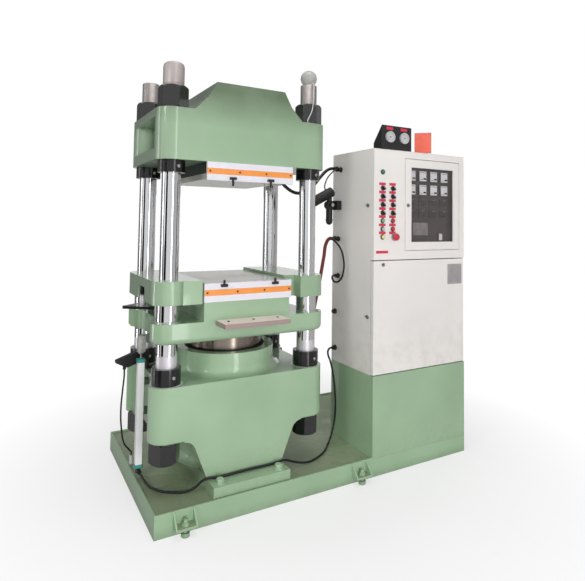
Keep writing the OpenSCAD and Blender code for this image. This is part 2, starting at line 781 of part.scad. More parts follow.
// Globe lamp on the front right column, with a flat foot and a block for its wire
module globe_lamp() color([0.6, 0.6, 0.6]) at_press() translate([hx, -hy, col_top]) {
    rod(30, 0, 12);
    span([-6, -40, 0], [6, 0, 12]);
    difference() {
        translate([0, 0, lamp_d / 2 - lamp_sink]) sphere(d = lamp_d);
        rod(lamp_d, -2 * lamp_sink, 0);
    }
}

gland_l = 24;
gland_d = 24;
glands = [[385, 650], [390, 880], [360, 1110], [360, 1345], [400, 1345], [385, 1798], [340, 1790]];
fitting_z = 560;
// Glands on the cabinet's left side, and the hose's fitting in the casting's right waist
module cable_glands() color(black) {
    at_cabinet() for (g = glands) translate([0, g[0], g[1]]) rotate([0, -90, 0]) gland(0);
    at_press() translate([half_x - waist, 0, fitting_z]) rotate([0, 90, 0]) gland(8);
}
module gland(grow) {
    cylinder(d = 34 + grow, h = 10, $fn = 6);
    rod(gland_d + grow, 0, gland_l);
}

lamp_block = [34, 72, 58];
lamp_z = 1560;
lamp_local_y = 370;
lamp_reach = 70;
lamp_tube_d = 64;
lamp_tube_l = 172;
lamp_slope = 27;
lamp_grip_d = 42;
lamp_grip_l = 126;
// Work lamp: block on the cabinet's side, arm, clamped joint with its screw, sloping tube and grip
module work_lamp() color(black) at_cabinet() translate([0, lamp_local_y, lamp_z]) {
    span([-lamp_block[0], -lamp_block[1] / 2, -lamp_block[2] / 2], [0, lamp_block[1] / 2, lamp_block[2] / 2]);
    rotate([0, -90, 0]) rod(30, 0, lamp_reach);
    translate([-lamp_reach, 0, 0]) {
        rotate([90, 0, 0]) {
            rod(56, -20, 20);
            rod(27, 20 - eps, 32);
        }
        rod(34, 0, 60);
        translate([16, 0, 86]) rotate([0, -90 - lamp_slope, 0]) rod(lamp_tube_d, 0, lamp_tube_l);
        rod(lamp_grip_d, lamp_grip_d / 2 - lamp_grip_l, 0);
        rod(lamp_grip_d + 5, 28 - lamp_grip_l, 36 - lamp_grip_l);
        translate([0, 0, lamp_grip_d / 2 - lamp_grip_l]) sphere(d = lamp_grip_d);
    }
}

// Swept tube through a list of points
function unit(v) = v / norm(v);
function tangent(p, i) = unit(p[min(i + 1, len(p) - 1)] - p[max(i - 1, 0)]);
function side_of(t) = unit(abs(t[2]) > 0.9 ? cross([1, 0, 0], t) : cross([0, 0, 1], t));
// Sides of the rings, each carried on from the ring before so that the tube doesn't twist
function sides(p, i = 0, before = undef) =
    let (t = tangent(p, i), a = i == 0 ? side_of(t) : unit(before - t * (before * t)))
    i == len(p) - 1 ? [a] : concat([a], sides(p, i + 1, a));
function tube_ring(p, i, d, n, a) =
    let (b = cross(tangent(p, i), a))
    [for (k = [0 : n - 1]) p[i] + d / 2 * (a * cos(360 * k / n) + b * sin(360 * k / n))];
module tube(p, d, n) {
    rings = len(p);
    side = sides(p);
    polyhedron(
        points = [for (i = [0 : rings - 1]) each tube_ring(p, i, d, n, side[i])],
        faces = [
            [for (k = [0 : n - 1]) n - 1 - k],
            for (i = [0 : rings - 2], k = [0 : n - 1])
                [i * n + k, i * n + (k + 1) % n, (i + 1) * n + (k + 1) % n, (i + 1) * n + k],
            [for (k = [0 : n - 1]) (rings - 1) * n + k]
        ],
        convexity = 6);
}

// Routes are measured from the tray's front left corner
module at_corner() { translate([-base_l / 2, -base_d / 2, 0]) children(); }

// Socket on the deck that the switch's cable comes down to
socket_at = [24, 598];
socket_h = 46;
module cable_connector() color(white) at_corner() translate(socket_at) {
    rod(20, deck_z, deck_z + socket_h);
    rod(28, deck_z, deck_z + 8);
}

sensor_cable_d = 12;
sensor_cable_path = [
    [27, 411, 127], [27, 378, 127], [33, 340, 116], [44, 298, 107], [62, 250, 107],
    [92, 204, 107], [140, 168, 107], [190, 148, 108], [234, 135, 122], [266, 122, 152],
    [291, 110, 164], [340, 105, 161], [503, 107, 161], [680, 106, 161], [716, 108, 164],
    [744, 111, 157], [790, 114, 138], [840, 122, 120], [894, 133, 108], [960, 155, 107], [1040, 203, 107],
    [1120, 283, 107], [1170, 330, 120], [1202, 348, 170], [1220, 354, 260], [1222, 360, 370],
    [1214, 374, 490], [1196, 383, 575], [1182, 385, 612], [1183, 385, 638], [1196, 385, 650],
    [1216, 385, 650]
];
module sensor_cable() color(black) at_corner() tube(sensor_cable_path, sensor_cable_d, 8);

switch_cable_d = 9;
switch_cable_path = [
    [-41, 528, 640], [-41, 528, 605], [-45, 536, 530], [-48, 552, 430], [-40, 570, 320],
    [-18, 588, 220], [12, 598, 176], [24, 598, 160], [24, 598, 146]
];
module switch_cable() color(black) at_corner() tube(switch_cable_path, switch_cable_d, 8);

heater_cable_d = 20;
heater_cable_path = [
    [748, 288, 1680], [772, 288, 1680], [810, 292, 1656], [850, 298, 1634], [899, 308, 1624],
    [960, 318, 1634], [1030, 333, 1682], [1087, 353, 1732], [1140, 373, 1774], [1176, 383, 1793],
    [1196, 385, 1798], [1216, 385, 1798]
];
module heater_cable() color(black) at_corner() tube(heater_cable_path, heater_cable_d, 8);

lamp_cord_d = 8;
lamp_cord_path = [
    [1139.5, 370, 1658.5], [1133.6, 370, 1670.1], [1134, 368, 1690], [1146, 360, 1730], [1170, 348, 1765],
    [1194, 341, 1786], [1204, 340, 1790], [1216, 340, 1790]
];
module lamp_cord() color(black) at_corner() tube(lamp_cord_path, lamp_cord_d, 8);

loop_cable_d = 12;
loop_cable_path = [
    [1216, 360, 1345], [1196, 360, 1345], [1182, 344, 1342], [1182, 312, 1328], [1192, 272, 1290],
    [1200, 248, 1220], [1201, 250, 1146], [1194, 276, 1092], [1185, 314, 1076], [1184, 346, 1092],
    [1196, 360, 1110], [1216, 360, 1110]
];
module loop_cable() color(black) at_corner() tube(loop_cable_path, loop_cable_d, 8);

ram_hose_d = 22;
ram_hose_path = [
    [1216, 400, 1345], [1194, 400, 1345], [1170, 400, 1318], [1152, 400, 1230], [1124, 402, 1080],
    [1090, 412, 900], [1066, 428, 730], [1048, 440, 630], [1022, 447, 576], [985, 448, 560],
    [961, 448, 560]
];
module ram_hose() color(brick) at_corner() tube(ram_hose_path, ram_hose_d, 8);

globe_wire_d = 5;
globe_wire_path = [
    [909, 169, 2264], [909, 158, 2264], [908, 149, 2252], [905, 144, 2215], [898, 135, 2140],
    [884, 132, 2085], [867, 133, 2050], [862, 136, 2036], [862, 136, 2020]
];
module globe_wire() color(white) at_corner() tube(globe_wire_path, globe_wire_d, 8);

base_tray();
levelling_brackets();
levelling_bolts();
lower_casting();
ram_wiper();
columns();
upper_hex_nuts();
beam_lock_nuts();
lower_lock_nuts();
lower_hex_nuts();
stop_sleeves();
upper_beam();
upper_insulation();
upper_heat_plate();
upper_guard();
upper_guard_strip();
upper_mould_knobs();
ram();
moving_platen();
lower_heat_plate();
lower_guard();
lower_guard_strip();
lower_mould_knobs();
spacer_sleeves();
left_rail();
right_rail();
loading_shelf();
striker_plate();
stroke_sensor_rod();
stroke_sensor();
switch_bracket();
oil_tank();
cabinet_walls();
cabinet_roof();
cabinet_back();
control_panel();
window_frame();
window_glass();
instrument_panel();
panel_instruments();
panel_controls();
quarter_turn_locks();
lower_door();
door_lock();
vent_plate();
door_pins();
gauge_box();
pressure_gauges();
signal_box();
globe_lamp();
work_lamp();
cable_glands();
cable_connector();
sensor_cable();
switch_cable();
heater_cable();
lamp_cord();
loop_cable();
ram_hose();
globe_wire();
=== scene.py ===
"""Looks of a four-column hydraulic press on its tray base, with oil tank and control cabinet."""

import math

import bmesh
import bpy
from bpy.props import FloatProperty, FloatVectorProperty, IntProperty
from mathutils import Euler, Matrix, Vector


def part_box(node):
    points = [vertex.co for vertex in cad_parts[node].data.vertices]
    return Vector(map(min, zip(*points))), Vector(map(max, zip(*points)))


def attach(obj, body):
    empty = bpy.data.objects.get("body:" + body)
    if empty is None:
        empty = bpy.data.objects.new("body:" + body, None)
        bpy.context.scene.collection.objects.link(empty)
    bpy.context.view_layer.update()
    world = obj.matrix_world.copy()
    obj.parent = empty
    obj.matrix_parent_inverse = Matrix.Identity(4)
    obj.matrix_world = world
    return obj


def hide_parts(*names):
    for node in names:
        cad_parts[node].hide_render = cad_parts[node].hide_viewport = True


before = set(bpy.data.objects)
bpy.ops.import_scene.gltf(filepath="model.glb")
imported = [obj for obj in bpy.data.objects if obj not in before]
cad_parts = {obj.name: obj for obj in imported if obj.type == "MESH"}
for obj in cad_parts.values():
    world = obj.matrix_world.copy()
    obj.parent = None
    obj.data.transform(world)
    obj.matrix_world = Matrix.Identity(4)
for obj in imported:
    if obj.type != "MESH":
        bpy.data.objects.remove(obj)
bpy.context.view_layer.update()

bl_info = {
    "name": "Brake pad press",
    "version": (1, 0, 0),
    "blender": (4, 5, 0),
    "location": "View3D > Sidebar > Press",
    "description": "Dresses the solids of a hydraulic press with finishes, cords and small fittings",
    "category": "Object",
}

# Places on the solids that the small fittings and the finishes keep to, in metres
TRAY_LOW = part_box("base_tray")[0]
CASTING_LOW, CASTING_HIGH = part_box("lower_casting")
COLUMNS_LOW, COLUMNS_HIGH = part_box("columns")
WINDOW_LOW, WINDOW_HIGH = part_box("window_frame")
PANEL_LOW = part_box("control_panel")[0]
BEAM_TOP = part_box("upper_beam")[1].z
DECK_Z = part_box("oil_tank")[0].z
PRESS = (CASTING_LOW + CASTING_HIGH) / 2
COLUMN_R = 0.048
COLUMN_XS = (COLUMNS_LOW.x + COLUMN_R, COLUMNS_HIGH.x - COLUMN_R)
COLUMN_YS = (COLUMNS_LOW.y + COLUMN_R, COLUMNS_HIGH.y - COLUMN_R)
FACING_FRONT = Euler((math.pi / 2, 0, 0))
UPRIGHT = Euler((0, 0, 0))
SHARP_ANGLE = math.radians(32)

# Cards that streak the polished metal: name, first and last turn in degrees from the camera's way,
# grey and glow
CARDS = (
    ("behind_left", -156, -108, 0.45, 1), ("thin_far", -101, -93, 0.1, 1),
    ("glow_left", -92, -85, 1, 5), ("thin", -78, -68, 0.12, 1), ("dark", -54, -32, 0.05, 1),
    ("front", -30, 21, 0.89, 1), ("glow_right", 22, 31, 1, 5), ("pale", 32, 84, 0.72, 1),
    ("line", 85, 97, 0.1, 1), ("behind_right", 100, 156, 0.66, 1),
)
HIGH_CARDS = (("back_left", -180, -156, 0.45, 1), ("back_right", 156, 180, 0.5, 1))
# Rings that the cards stand on: name, radius, foot and height in metres, and cards
CARD_RINGS = (
    ("far", 4.6, -0.6, 6, CARDS), ("near", 2.6, 0, 0.75, CARDS), ("high", 4.5, 1.8, 3.6, HIGH_CARDS),
)
# Soft lights: name, place, target, size in metres, watts, and whether polished metal shows them
LAMPS = (
    ("key", (-1.5, -5.6, 1.2), (0, 0, 0.8), 2.4, 168, False),
    ("top", (-0.4, -0.9, 4.6), (-0.4, -0.6, 0), 1.6, 36, True),
    ("left", (-4.6, -2, 3), (0.2, 0, 1.2), 1.2, 48, True),
    ("fill", (4.4, -3.4, 2), (0.2, 0, 1), 3, 40, True),
    ("back", (-0.8, 5.6, 1.9), (0, 0, 1), 2.8, 100, False),
)
WORLD_LIGHT = 0.22

# Cords: diameter and length in metres, how stiff it is, how it lies, and its route in millimetres from
# the tray's front left corner
CORDS = {
    "sensor_cable": (0.012, 2, "medium", "loose", (
        (27, 411, 127), (27, 378, 127), (33, 340, 116), (44, 298, 107), (62, 250, 107), (92, 204, 107),
        (140, 168, 107), (190, 148, 108), (234, 135, 122), (266, 122, 152), (291, 110, 164),
        (340, 105, 161), (503, 107, 161), (680, 106, 161), (716, 108, 164), (744, 111, 157),
        (790, 114, 138), (840, 122, 120), (894, 133, 108), (960, 155, 107), (1040, 203, 107),
        (1120, 283, 107), (1170, 330, 120), (1202, 348, 170), (1220, 354, 260), (1222, 360, 370),
        (1214, 374, 490), (1196, 383, 575), (1182, 385, 612), (1183, 385, 638), (1196, 385, 650),
        (1216, 385, 650),
    )),
    "switch_cable": (0.009, 0.52, "medium", "hanging", (
        (-41, 528, 640), (-41, 528, 605), (-45, 536, 530), (-48, 552, 430), (-40, 570, 320),
        (-18, 588, 220), (12, 598, 176), (24, 598, 160), (24, 598, 146),
    )),
    "heater_cable": (0.02, 0.55, "medium", "hanging", (
        (748, 288, 1680), (772, 288, 1680), (810, 292, 1656), (850, 298, 1634), (899, 308, 1624),
        (960, 318, 1634), (1030, 333, 1682), (1087, 353, 1732), (1140, 373, 1774), (1176, 383, 1793),
        (1196, 385, 1798), (1216, 385, 1798),
    )),
    "lamp_cord": (0.008, 0.18, "limp", "hanging", (
        (1139.5, 370, 1658.5), (1133.6, 370, 1670.1), (1134, 368, 1690), (1146, 360, 1730),
        (1170, 348, 1765), (1194, 341, 1786), (1204, 340, 1790), (1216, 340, 1790),
    )),
    "loop_cable": (0.012, 0.47, "limp", "hanging", (
        (1216, 360, 1345), (1196, 360, 1345), (1182, 344, 1342), (1182, 312, 1328), (1192, 272, 1290),
        (1200, 248, 1220), (1201, 250, 1146), (1194, 276, 1092), (1185, 314, 1076), (1184, 346, 1092),
        (1196, 360, 1110), (1216, 360, 1110),
    )),
    "ram_hose": (0.022, 0.88, "medium", "hanging", (
        (1216, 400, 1345), (1194, 400, 1345), (1170, 400, 1318), (1152, 400, 1230), (1124, 402, 1080),
        (1090, 412, 900), (1066, 428, 730), (1048, 440, 630), (1022, 447, 576), (985, 448, 560),
        (961, 448, 560),
    )),
    "globe_wire": (0.005, 0.27, "limp", "hanging", (
        (909, 169, 2264), (909, 158, 2264), (908, 149, 2252), (905, 144, 2215), (898, 135, 2140),
        (884, 132, 2085), (867, 133, 2050), (862, 136, 2036), (862, 136, 2020),
    )),
}

# Moulded finishes: name, colour, roughness, grain and variation, and the solids that have them
MOULDED = (
    # The insulation under the beam is a plain dark grey-green
    ("fibre_board", (0.2, 0.23, 0.21), 0.6, 120, 0.15, "upper_insulation"),
    ("guard_board", (0.9, 0.89, 0.92), 0.42, 220, 0.03, "upper_guard", "lower_guard"),
    ("knob_black", (0.11, 0.11, 0.115), 0.35, 300, 0.08, "upper_mould_knobs", "lower_mould_knobs"),
    ("wiper_rubber", (0.09, 0.09, 0.09), 0.6, 300, 0.08, "ram_wiper"),
    ("plastic_black", (0.1, 0.1, 0.105), 0.42, 300, 0.08,
     "panel_controls", "cable_glands", "work_lamp", "switch_bracket"),
    ("box_black", (0.12, 0.12, 0.125), 0.5, 700, 0.08, "gauge_box"),
    ("back_plate_dark", (0.3, 0.28, 0.275), 0.55, 500, 0.08, "instrument_panel"),
    ("instrument_shell", (0.34, 0.32, 0.315), 0.5, 500, 0.08, "panel_instruments"),
    ("vent_grey", (0.66, 0.64, 0.65), 0.45, 500, 0.08, "vent_plate"),
    ("globe_grey", (0.68, 0.68, 0.67), 0.25, 300, 0.1, "globe_lamp"),
    ("plastic_white", (0.86, 0.86, 0.84), 0.4, 300, 0.08, "cable_connector"),
)

# Drops of the panel's controls and of its label strip below the cabinet's top, in metres
SELECTOR_DROPS = (0.233, 0.282, 0.331, 0.38)
BUTTON_DROPS = (0.427, 0.476)
LAST_DROP = 0.523
PILOT_DROP = 0.138
LABEL_DROPS = (0.62, 0.604)
# Insets of its two columns of controls and of its stop button from the panel's left
COLUMN_INSETS = (0.062, 0.139)
STOP_INSET = 0.155
# Caps of the panel: name, column, drop, colour and glow
CAPS = (
    ("pilot_lens", 0, PILOT_DROP, (0.1, 0.5, 0.3), 0.15),
    ("start_cap", 0, BUTTON_DROPS[0], (0.42, 0.66, 0.54), 0),
    ("plain_cap", 0, BUTTON_DROPS[1], (0.74, 0.74, 0.74), 0),
    ("yellow_cap", 0, LAST_DROP, (0.97, 0.87, 0.52), 0),
    ("red_cap_upper", 1, BUTTON_DROPS[0], (0.82, 0.12, 0.16), 0),
    ("red_cap_lower", 1, BUTTON_DROPS[1], (0.82, 0.12, 0.16), 0),
)

# Rows of instruments, by their drops below the window frame's top, and the plates on each one: piece; left,
# low, right and high from the instrument's corner; how far front and back stand out; bevel; in metres
INSTRUMENTS = (
    ((0.131, 0.217), (
        ("controller_faces", 0.002, 0.002, 0.058, 0.064, 0.004, 0, 0.0015),
        ("controller_readouts", 0.032, 0.012, 0.054, 0.022, 0.0052, 0.003, 0.0008),
        ("instrument_keys", 0.006, 0.01, 0.026, 0.013, 0.0055, 0.003, 0.0008),
        ("instrument_keys", 0.006, 0.054, 0.054, 0.057, 0.0055, 0.003, 0.0008),
    )),
    ((0.289, 0.359), (
        ("meter_faces", 0.004, 0.004, 0.056, 0.048, 0.003, 0, 0.0015),
        ("instrument_keys", 0.018, 0.04, 0.042, 0.044, 0.0045, 0.0025, 0.0008),
    )),
)
DISPLAY = ("display_screen", 0.004, 0.004, 0.129, 0.082, 0.003, 0, 0.0015)
ROCKER = ("rocker_switch", 0.003, 0.004, 0.029, 0.046, 0.006, 0, 0.002)
# Finishes of those pieces: name, colour, roughness, grain, variation and rubbed edge
INSTRUMENT_FINISHES = {
    "controller_faces": ("controller_face", (0.95, 0.94, 0.96), 0.35, 300, 0.03, 0.001),
    "controller_readouts": ("readout_dark", (0.13, 0.13, 0.14), 0.18, 300, 0.05, 0.001),
    "instrument_keys": ("key_grey", (0.5, 0.52, 0.55), 0.5),
    "meter_faces": ("meter_dark", (0.25, 0.235, 0.23), 0.3, 300, 0.05, 0.001),
    "display_screen": ("display_grey", (0.55, 0.52, 0.52), 0.25, 300, 0.03),
    "rocker_switch": ("rocker_white", (0.9, 0.9, 0.9), 0.35),
}


def colour_property(name, description, default):
    """A colour as it is seen on a screen, from 0 to 1."""
    return FloatVectorProperty(name=name, description=description, default=default,
                               subtype="COLOR_GAMMA", min=0, max=1)


def length_property(name, description, default):
    """A length in metres."""
    return FloatProperty(name=name, description=description, default=default, unit="LENGTH", min=0)


def angle_property(name, description, degrees):
    """An angle, given in degrees."""
    return FloatProperty(name=name, description=description, default=math.radians(degrees), subtype="ANGLE")


class PressColours(bpy.types.PropertyGroup):
    """Colours of the finishes"""

    sage: colour_property("Sage", "Enamel on the castings, the tray and the tank", (0.622, 0.735, 0.605))
    sage_shade: colour_property("Deck", "Enamel on the trodden deck", (0.53, 0.585, 0.47))
    off_white: colour_property("Off-white", "Enamel on the cabinet", (0.94, 0.922, 0.91))
    orange: colour_property("Orange", "Strips on the guards", (0.96, 0.6, 0.29))
    salmon: colour_property("Salmon", "Signal box", (0.98, 0.46, 0.38))
    tag_red: colour_property("Tag red", "Blank tags over the controls", (0.84, 0.2, 0.32))
    hose_red: colour_property("Hose red", "Sheath of the hydraulic hose", (0.4, 0.14, 0.1))
    teal: colour_property("Teal", "End caps of the stroke sensor", (0.25, 0.62, 0.58))


class PressFittings(bpy.types.PropertyGroup):
    """Sizes of the small fittings"""

    foot_bolt_af: length_property("Foot bolt", "Width across the flats of the foot bolts", 0.036)
    screw_d: length_property("Screw", "Diameter of the guards' screws", 0.01)
    set_screw_d: length_property("Set screw", "Diameter of the lock nuts' set screws", 0.017)
    cap_d: length_property("Rod cap", "Diameter of the cap on the front left column", 0.109)
    tag_w: length_property("Tag width", "Width of a blank tag", 0.05)
    tag_h: length_property("Tag height", "Height of a blank tag", 0.016)
    tag_t: length_property("Tag thickness", "Thickness of a blank tag", 0.0015)
    round_sides: IntProperty(name="Sides", description="Sides of a round fitting", default=32, min=8)


class PressStudio(bpy.types.PropertyGroup):
    """Camera that takes the picture"""

    camera: FloatVectorProperty(name="Camera", description="Place of the camera", subtype="XYZ",
                                unit="LENGTH", default=(-1.641, -2.948, 1.45))
    turn: angle_property("Turn", "Turn of the view to the right", 29.86)
    rise: angle_property("Rise", "Rise of the view above level", 2.91)
    roll: angle_property("Roll", "Roll of the camera", 0.78)
    lens: FloatProperty(name="Lens", description="Focal length in millimetres on a 36 mm sensor",
                        default=31.86)
    shift: FloatVectorProperty(name="Shift", description="Shift of the picture over the lens", size=2,
                               default=(-0.0111, -0.1622))


def only(*pieces):
    """Selects pieces and nothing else, the first of them active."""
    bpy.ops.object.select_all(action="DESELECT")
    for piece in pieces:
        piece.select_set(True)
    bpy.context.view_layer.objects.active = pieces[0]


def added(name, data):
    """Adds an object to the scene."""
    piece = bpy.data.objects.new(name, data)
    bpy.context.scene.collection.objects.link(piece)
    return piece


def begin(add, name, **settings):
    """Adds a primitive, alone in the selection, and names it."""
    bpy.ops.object.select_all(action="DESELECT")
    add(**settings)
    return named(bpy.context.object, name)


def named(piece, name):
    """Names a piece and its mesh."""
    piece.name = name
    piece.data.name = name
    return piece


def edit(piece):
    """Opens a piece in edit mode with nothing selected, by faces."""
    only(piece)
    bpy.ops.object.mode_set(mode="EDIT")
    bpy.ops.mesh.select_mode(type="FACE")
    bpy.ops.mesh.select_all(action="DESELECT")


def close():
    """Leaves edit mode."""
    bpy.ops.object.mode_set(mode="OBJECT")


def pick_faces(piece, test):
    """Selects the faces of the piece in edit mode that pass the test."""
    mesh = bmesh.from_edit_mesh(piece.data)
    for face in mesh.faces:
        face.select_set(test(face))
    mesh.select_flush_mode()
    bmesh.update_edit_mesh(piece.data)


def extrude_up(height):
    """Extrudes what is selected along Z."""
    bpy.ops.mesh.extrude_region_move(TRANSFORM_OT_translate={"value": (0, 0, height)})


def smooth(piece):
    """Smooth shading up to the sharp angle."""
    only(piece)
    bpy.ops.object.shade_smooth_by_angle(angle=SHARP_ANGLE)


def turned(name, rings, sides=32):
    """A piece turned about Z: a disc extruded and resized through rings of height and radius."""
    height, radius = rings[0]
    piece = begin(bpy.ops.mesh.primitive_circle_add, name, vertices=sides, radius=radius,
                  fill_type="NGON", location=(0, 0, height))
    bpy.ops.object.transform_apply()
    edit(piece)
    bpy.ops.mesh.select_all(action="SELECT")
    bpy.ops.mesh.flip_normals()
    for next_height, next_radius in rings[1:]:
        extrude_up(next_height - height)
        share = next_radius / radius
        bpy.ops.transform.resize(value=(share, share, 1), center_override=(0, 0, next_height))
        height, radius = next_height, next_radius
    bpy.ops.mesh.select_all(action="SELECT")
    bpy.ops.mesh.normals_make_consistent(inside=False)
    close()
    smooth(piece)
    return piece


def block(name, low, high, bevel):
    """A box between two corners with bevelled edges."""
    low, high = Vector(low), Vector(high)
    piece = begin(bpy.ops.mesh.primitive_cube_add, name, size=1, location=(low + high) / 2,
                  scale=high - low)
    bpy.ops.object.transform_apply()
    edit(piece)
    bpy.ops.mesh.select_all(action="SELECT")
    bpy.ops.mesh.bevel(offset=bevel, segments=2)
    close()
    smooth(piece)
    return piece


def joined(name, pieces):
    """Joins pieces into one."""
    only(*pieces)
    if len(pieces) > 1:
        bpy.ops.object.join()
    return named(bpy.context.object, name)


def repeated(piece, places):
    """Copies of a piece, each with its own mesh, at places of point and turn; the pattern is removed."""
    copies = []
    for point, turn in places:
        copy = added(piece.name, piece.data.copy())
        copy.data.transform(Matrix.Translation(Vector(point)) @ turn.to_matrix().to_4x4())
        copies.append(copy)
    name = piece.name
    bpy.data.objects.remove(piece)
    return joined(name, copies)


def settle(piece, material, body="root", slot=None):
    """Gives a finished piece its material and its body; the slot is not used."""
    piece.data.materials.clear()
    piece.data.materials.append(material)
    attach(piece, body)


def ring_r(node):
    """The radius of a node's rings round the columns."""
    low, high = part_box(node)
    return (high.y - low.y - (COLUMN_YS[1] - COLUMN_YS[0])) / 2


def linear(colour):
    """A screen colour as a shader reads it."""
    return [c / 12.92 if c <= 0.04045 else ((c + 0.055) / 1.055) ** 2.4 for c in colour] + [1]


def shade(colour, share):
    """A screen colour made lighter or darker."""
    return [min(1, c * share) for c in colour]


class Nodes:
    """The nodes of a material or of the surroundings while they are made."""

    def __init__(self, owner):
        owner.use_nodes = True
        self.tree = owner.node_tree

    def feed(self, socket, value):
        """Links an output to a socket, or sets its value."""
        if isinstance(value, bpy.types.NodeSocket):
            self.tree.links.new(value, socket)
        else:
            socket.default_value = value

    def node(self, kind, settings=None, **sockets):
        """Adds a node."""
        node = self.tree.nodes.new("ShaderNode" + kind)
        for name, value in (settings or {}).items():
            setattr(node, name, value)
        for name, value in sockets.items():
            self.feed(node.inputs[name.replace("_", " ").title()], value)
        return node

    def ramp(self, value, start, end, low=0, high=1):
        """A value between two limits, laid on another range."""
        node = self.node("MapRange", Value=value, From_Min=start, From_Max=end, To_Min=low, To_Max=high)
        return node.outputs["Result"]

    def maths(self, operation, first, second=0):
        """One step of arithmetic."""
        node = self.node("Math", {"operation": operation})
        self.feed(node.inputs[0], first)
        self.feed(node.inputs[1], second)
        return node.outputs[0]


class Finish(Nodes):
    """A material while it is made: its shader and the tone that it has so far."""

    def __init__(self, name, **sockets):
        self.material = bpy.data.materials.new(name)
        super().__init__(self.material)
        self.shader = self.tree.nodes["Principled BSDF"]
        self.place = self.node("TexCoord").outputs["Object"]
        self.tone = None
        self.set(**sockets)

    def set(self, **sockets):
        """Sets the shader's sockets, named in lower case, to values or to other nodes' outputs."""
        for name, value in sockets.items():
            self.feed(self.shader.inputs[name.replace("_", " ").title().replace("Ior", "IOR")], value)
        return self.material

    def done(self, roughness, normal):
        """Sets the tone, the roughness and the normal, and gives the material."""
        return self.set(base_color=self.tone, roughness=roughness, normal=normal)

    def lay(self, share, colour):
        """Lays a colour over the tone by a mask."""
        self.tone = self.mix(share, self.tone, colour)

    def stretched(self, x=1, y=1, z=1):
        """Object coordinates, scaled along each axis."""
        return self.node("Mapping", Vector=self.place, Scale=(x, y, z)).outputs["Vector"]

    def noise(self, scale, detail=3, place=None):
        """A noise from 0 to 1."""
        node = self.node("TexNoise", Vector=place or self.place, Scale=scale, Detail=detail)
        return node.outputs["Fac"]

    def patches(self, scale, detail, *limits):
        """A noise on a ramp."""
        return self.ramp(self.noise(scale, detail), *limits)

    def axis(self, letter):
        """One Object coordinate."""
        return self.node("SeparateXYZ", Vector=self.place).outputs[letter]

    def rise(self, *limits):
        """The height above the floor on a ramp."""
        return self.ramp(self.axis("Z"), *limits)

    def facing(self):
        """The way that a face looks."""
        return self.node("NewGeometry").outputs["Normal"]

    def upward(self, *limits):
        """How far a face looks upwards, on a ramp."""
        return self.ramp(self.node("SeparateXYZ", Vector=self.facing()).outputs["Z"], *limits)

    def times(self, first, second):
        """A product."""
        return self.maths("MULTIPLY", first, second)

    def mix(self, share, first, second):
        """A colour between two colours, each a screen colour or an output."""
        node = self.node("Mix", {"data_type": "RGBA"})
        self.feed(node.inputs[0], share)
        for socket, colour in ((node.inputs[6], first), (node.inputs[7], second)):
            self.feed(socket, colour if isinstance(colour, bpy.types.NodeSocket) else linear(colour))
        return node.outputs[2]

    def rounded(self, radius):
        """A normal that rounds the edges."""
        return self.node("Bevel", {"samples": 4}, Radius=radius).outputs["Normal"]

    def edges(self, radius):
        """A mask along the edges."""
        node = self.node("VectorMath", {"operation": "DOT_PRODUCT"})
        self.feed(node.inputs[0], self.rounded(radius))
        self.feed(node.inputs[1], self.facing())
        return self.ramp(node.outputs["Value"], 0.99, 0.8)

    def from_columns(self):
        """The distance from the nearest column's axis."""
        sides = []
        for letter, (first, last) in (("X", COLUMN_XS), ("Y", COLUMN_YS)):
            off = self.maths("ABSOLUTE", self.maths("SUBTRACT", self.axis(letter), (first + last) / 2))
            off = self.maths("SUBTRACT", off, (last - first) / 2)
            sides.append(self.times(off, off))
        return self.maths("SQRT", self.maths("ADD", *sides))

    def bump(self, height, strength, distance=0.001, normal=None):
        """A normal with a relief."""
        node = self.node("Bump", Height=height, Strength=strength, Distance=distance)
        if normal is not None:
            self.feed(node.inputs["Normal"], normal)
        return node.outputs["Normal"]

    def grain(self, scale, strength, edge, distance=0.0006, detail=2):
        """A normal with a fine grain and rounded edges."""
        return self.bump(self.noise(scale, detail), strength, distance, self.rounded(edge))


def enamel(name, colour, dust_top=0.4, peel=260, gloss=0.3, wave=0.06, seat_r=0, painted_shade=None):
    """Enamel with an orange-peel skin, uneven tone, thin edges and dust low down. It may have painted shade,
    darker towards the top, between two heights, and bare seats of a radius round the columns."""
    look = Finish(name, specular_ior_level=0.45, coat_weight=0.9, coat_roughness=0.08)
    look.tone = look.mix(look.patches(2.4, 4, 0.35, 0.65), shade(colour, 0.965), shade(colour, 1.03))
    speck = look.noise(38, 5)
    dust = look.times(look.rise(dust_top, 0.05, 0, 0.22), look.ramp(speck, 0.38, 0.62))
    look.lay(dust, (0.55, 0.55, 0.46))
    # Painted shade: a dark green band that darkens the enamel towards the top, between the two heights
    if painted_shade:
        shade_band = look.times(look.rise(*painted_shade, 0, 0.85), look.patches(5, 4, 0.2, 0.6, 0.7, 1))
        look.lay(shade_band, (0.29, 0.355, 0.245))
    thin = look.times(look.edges(0.003), look.patches(60, 4, 0.5, 0.64, 0, 0.5))
    look.lay(thin, shade(colour, 1.22))
    if seat_r:
        near = look.ramp(look.from_columns(), seat_r + 0.0005, seat_r - 0.0005)
        look.lay(look.times(near, look.upward(0.9, 0.95)), (0.93, 0.95, 0.93))
    skin = look.grain(peel, 0.05, 0.004, 0.001)
    relief = look.bump(look.noise(7, 2), wave, 0.01, skin)
    return look.done(look.ramp(speck, 0.3, 0.7, gloss, gloss + 0.12), relief)


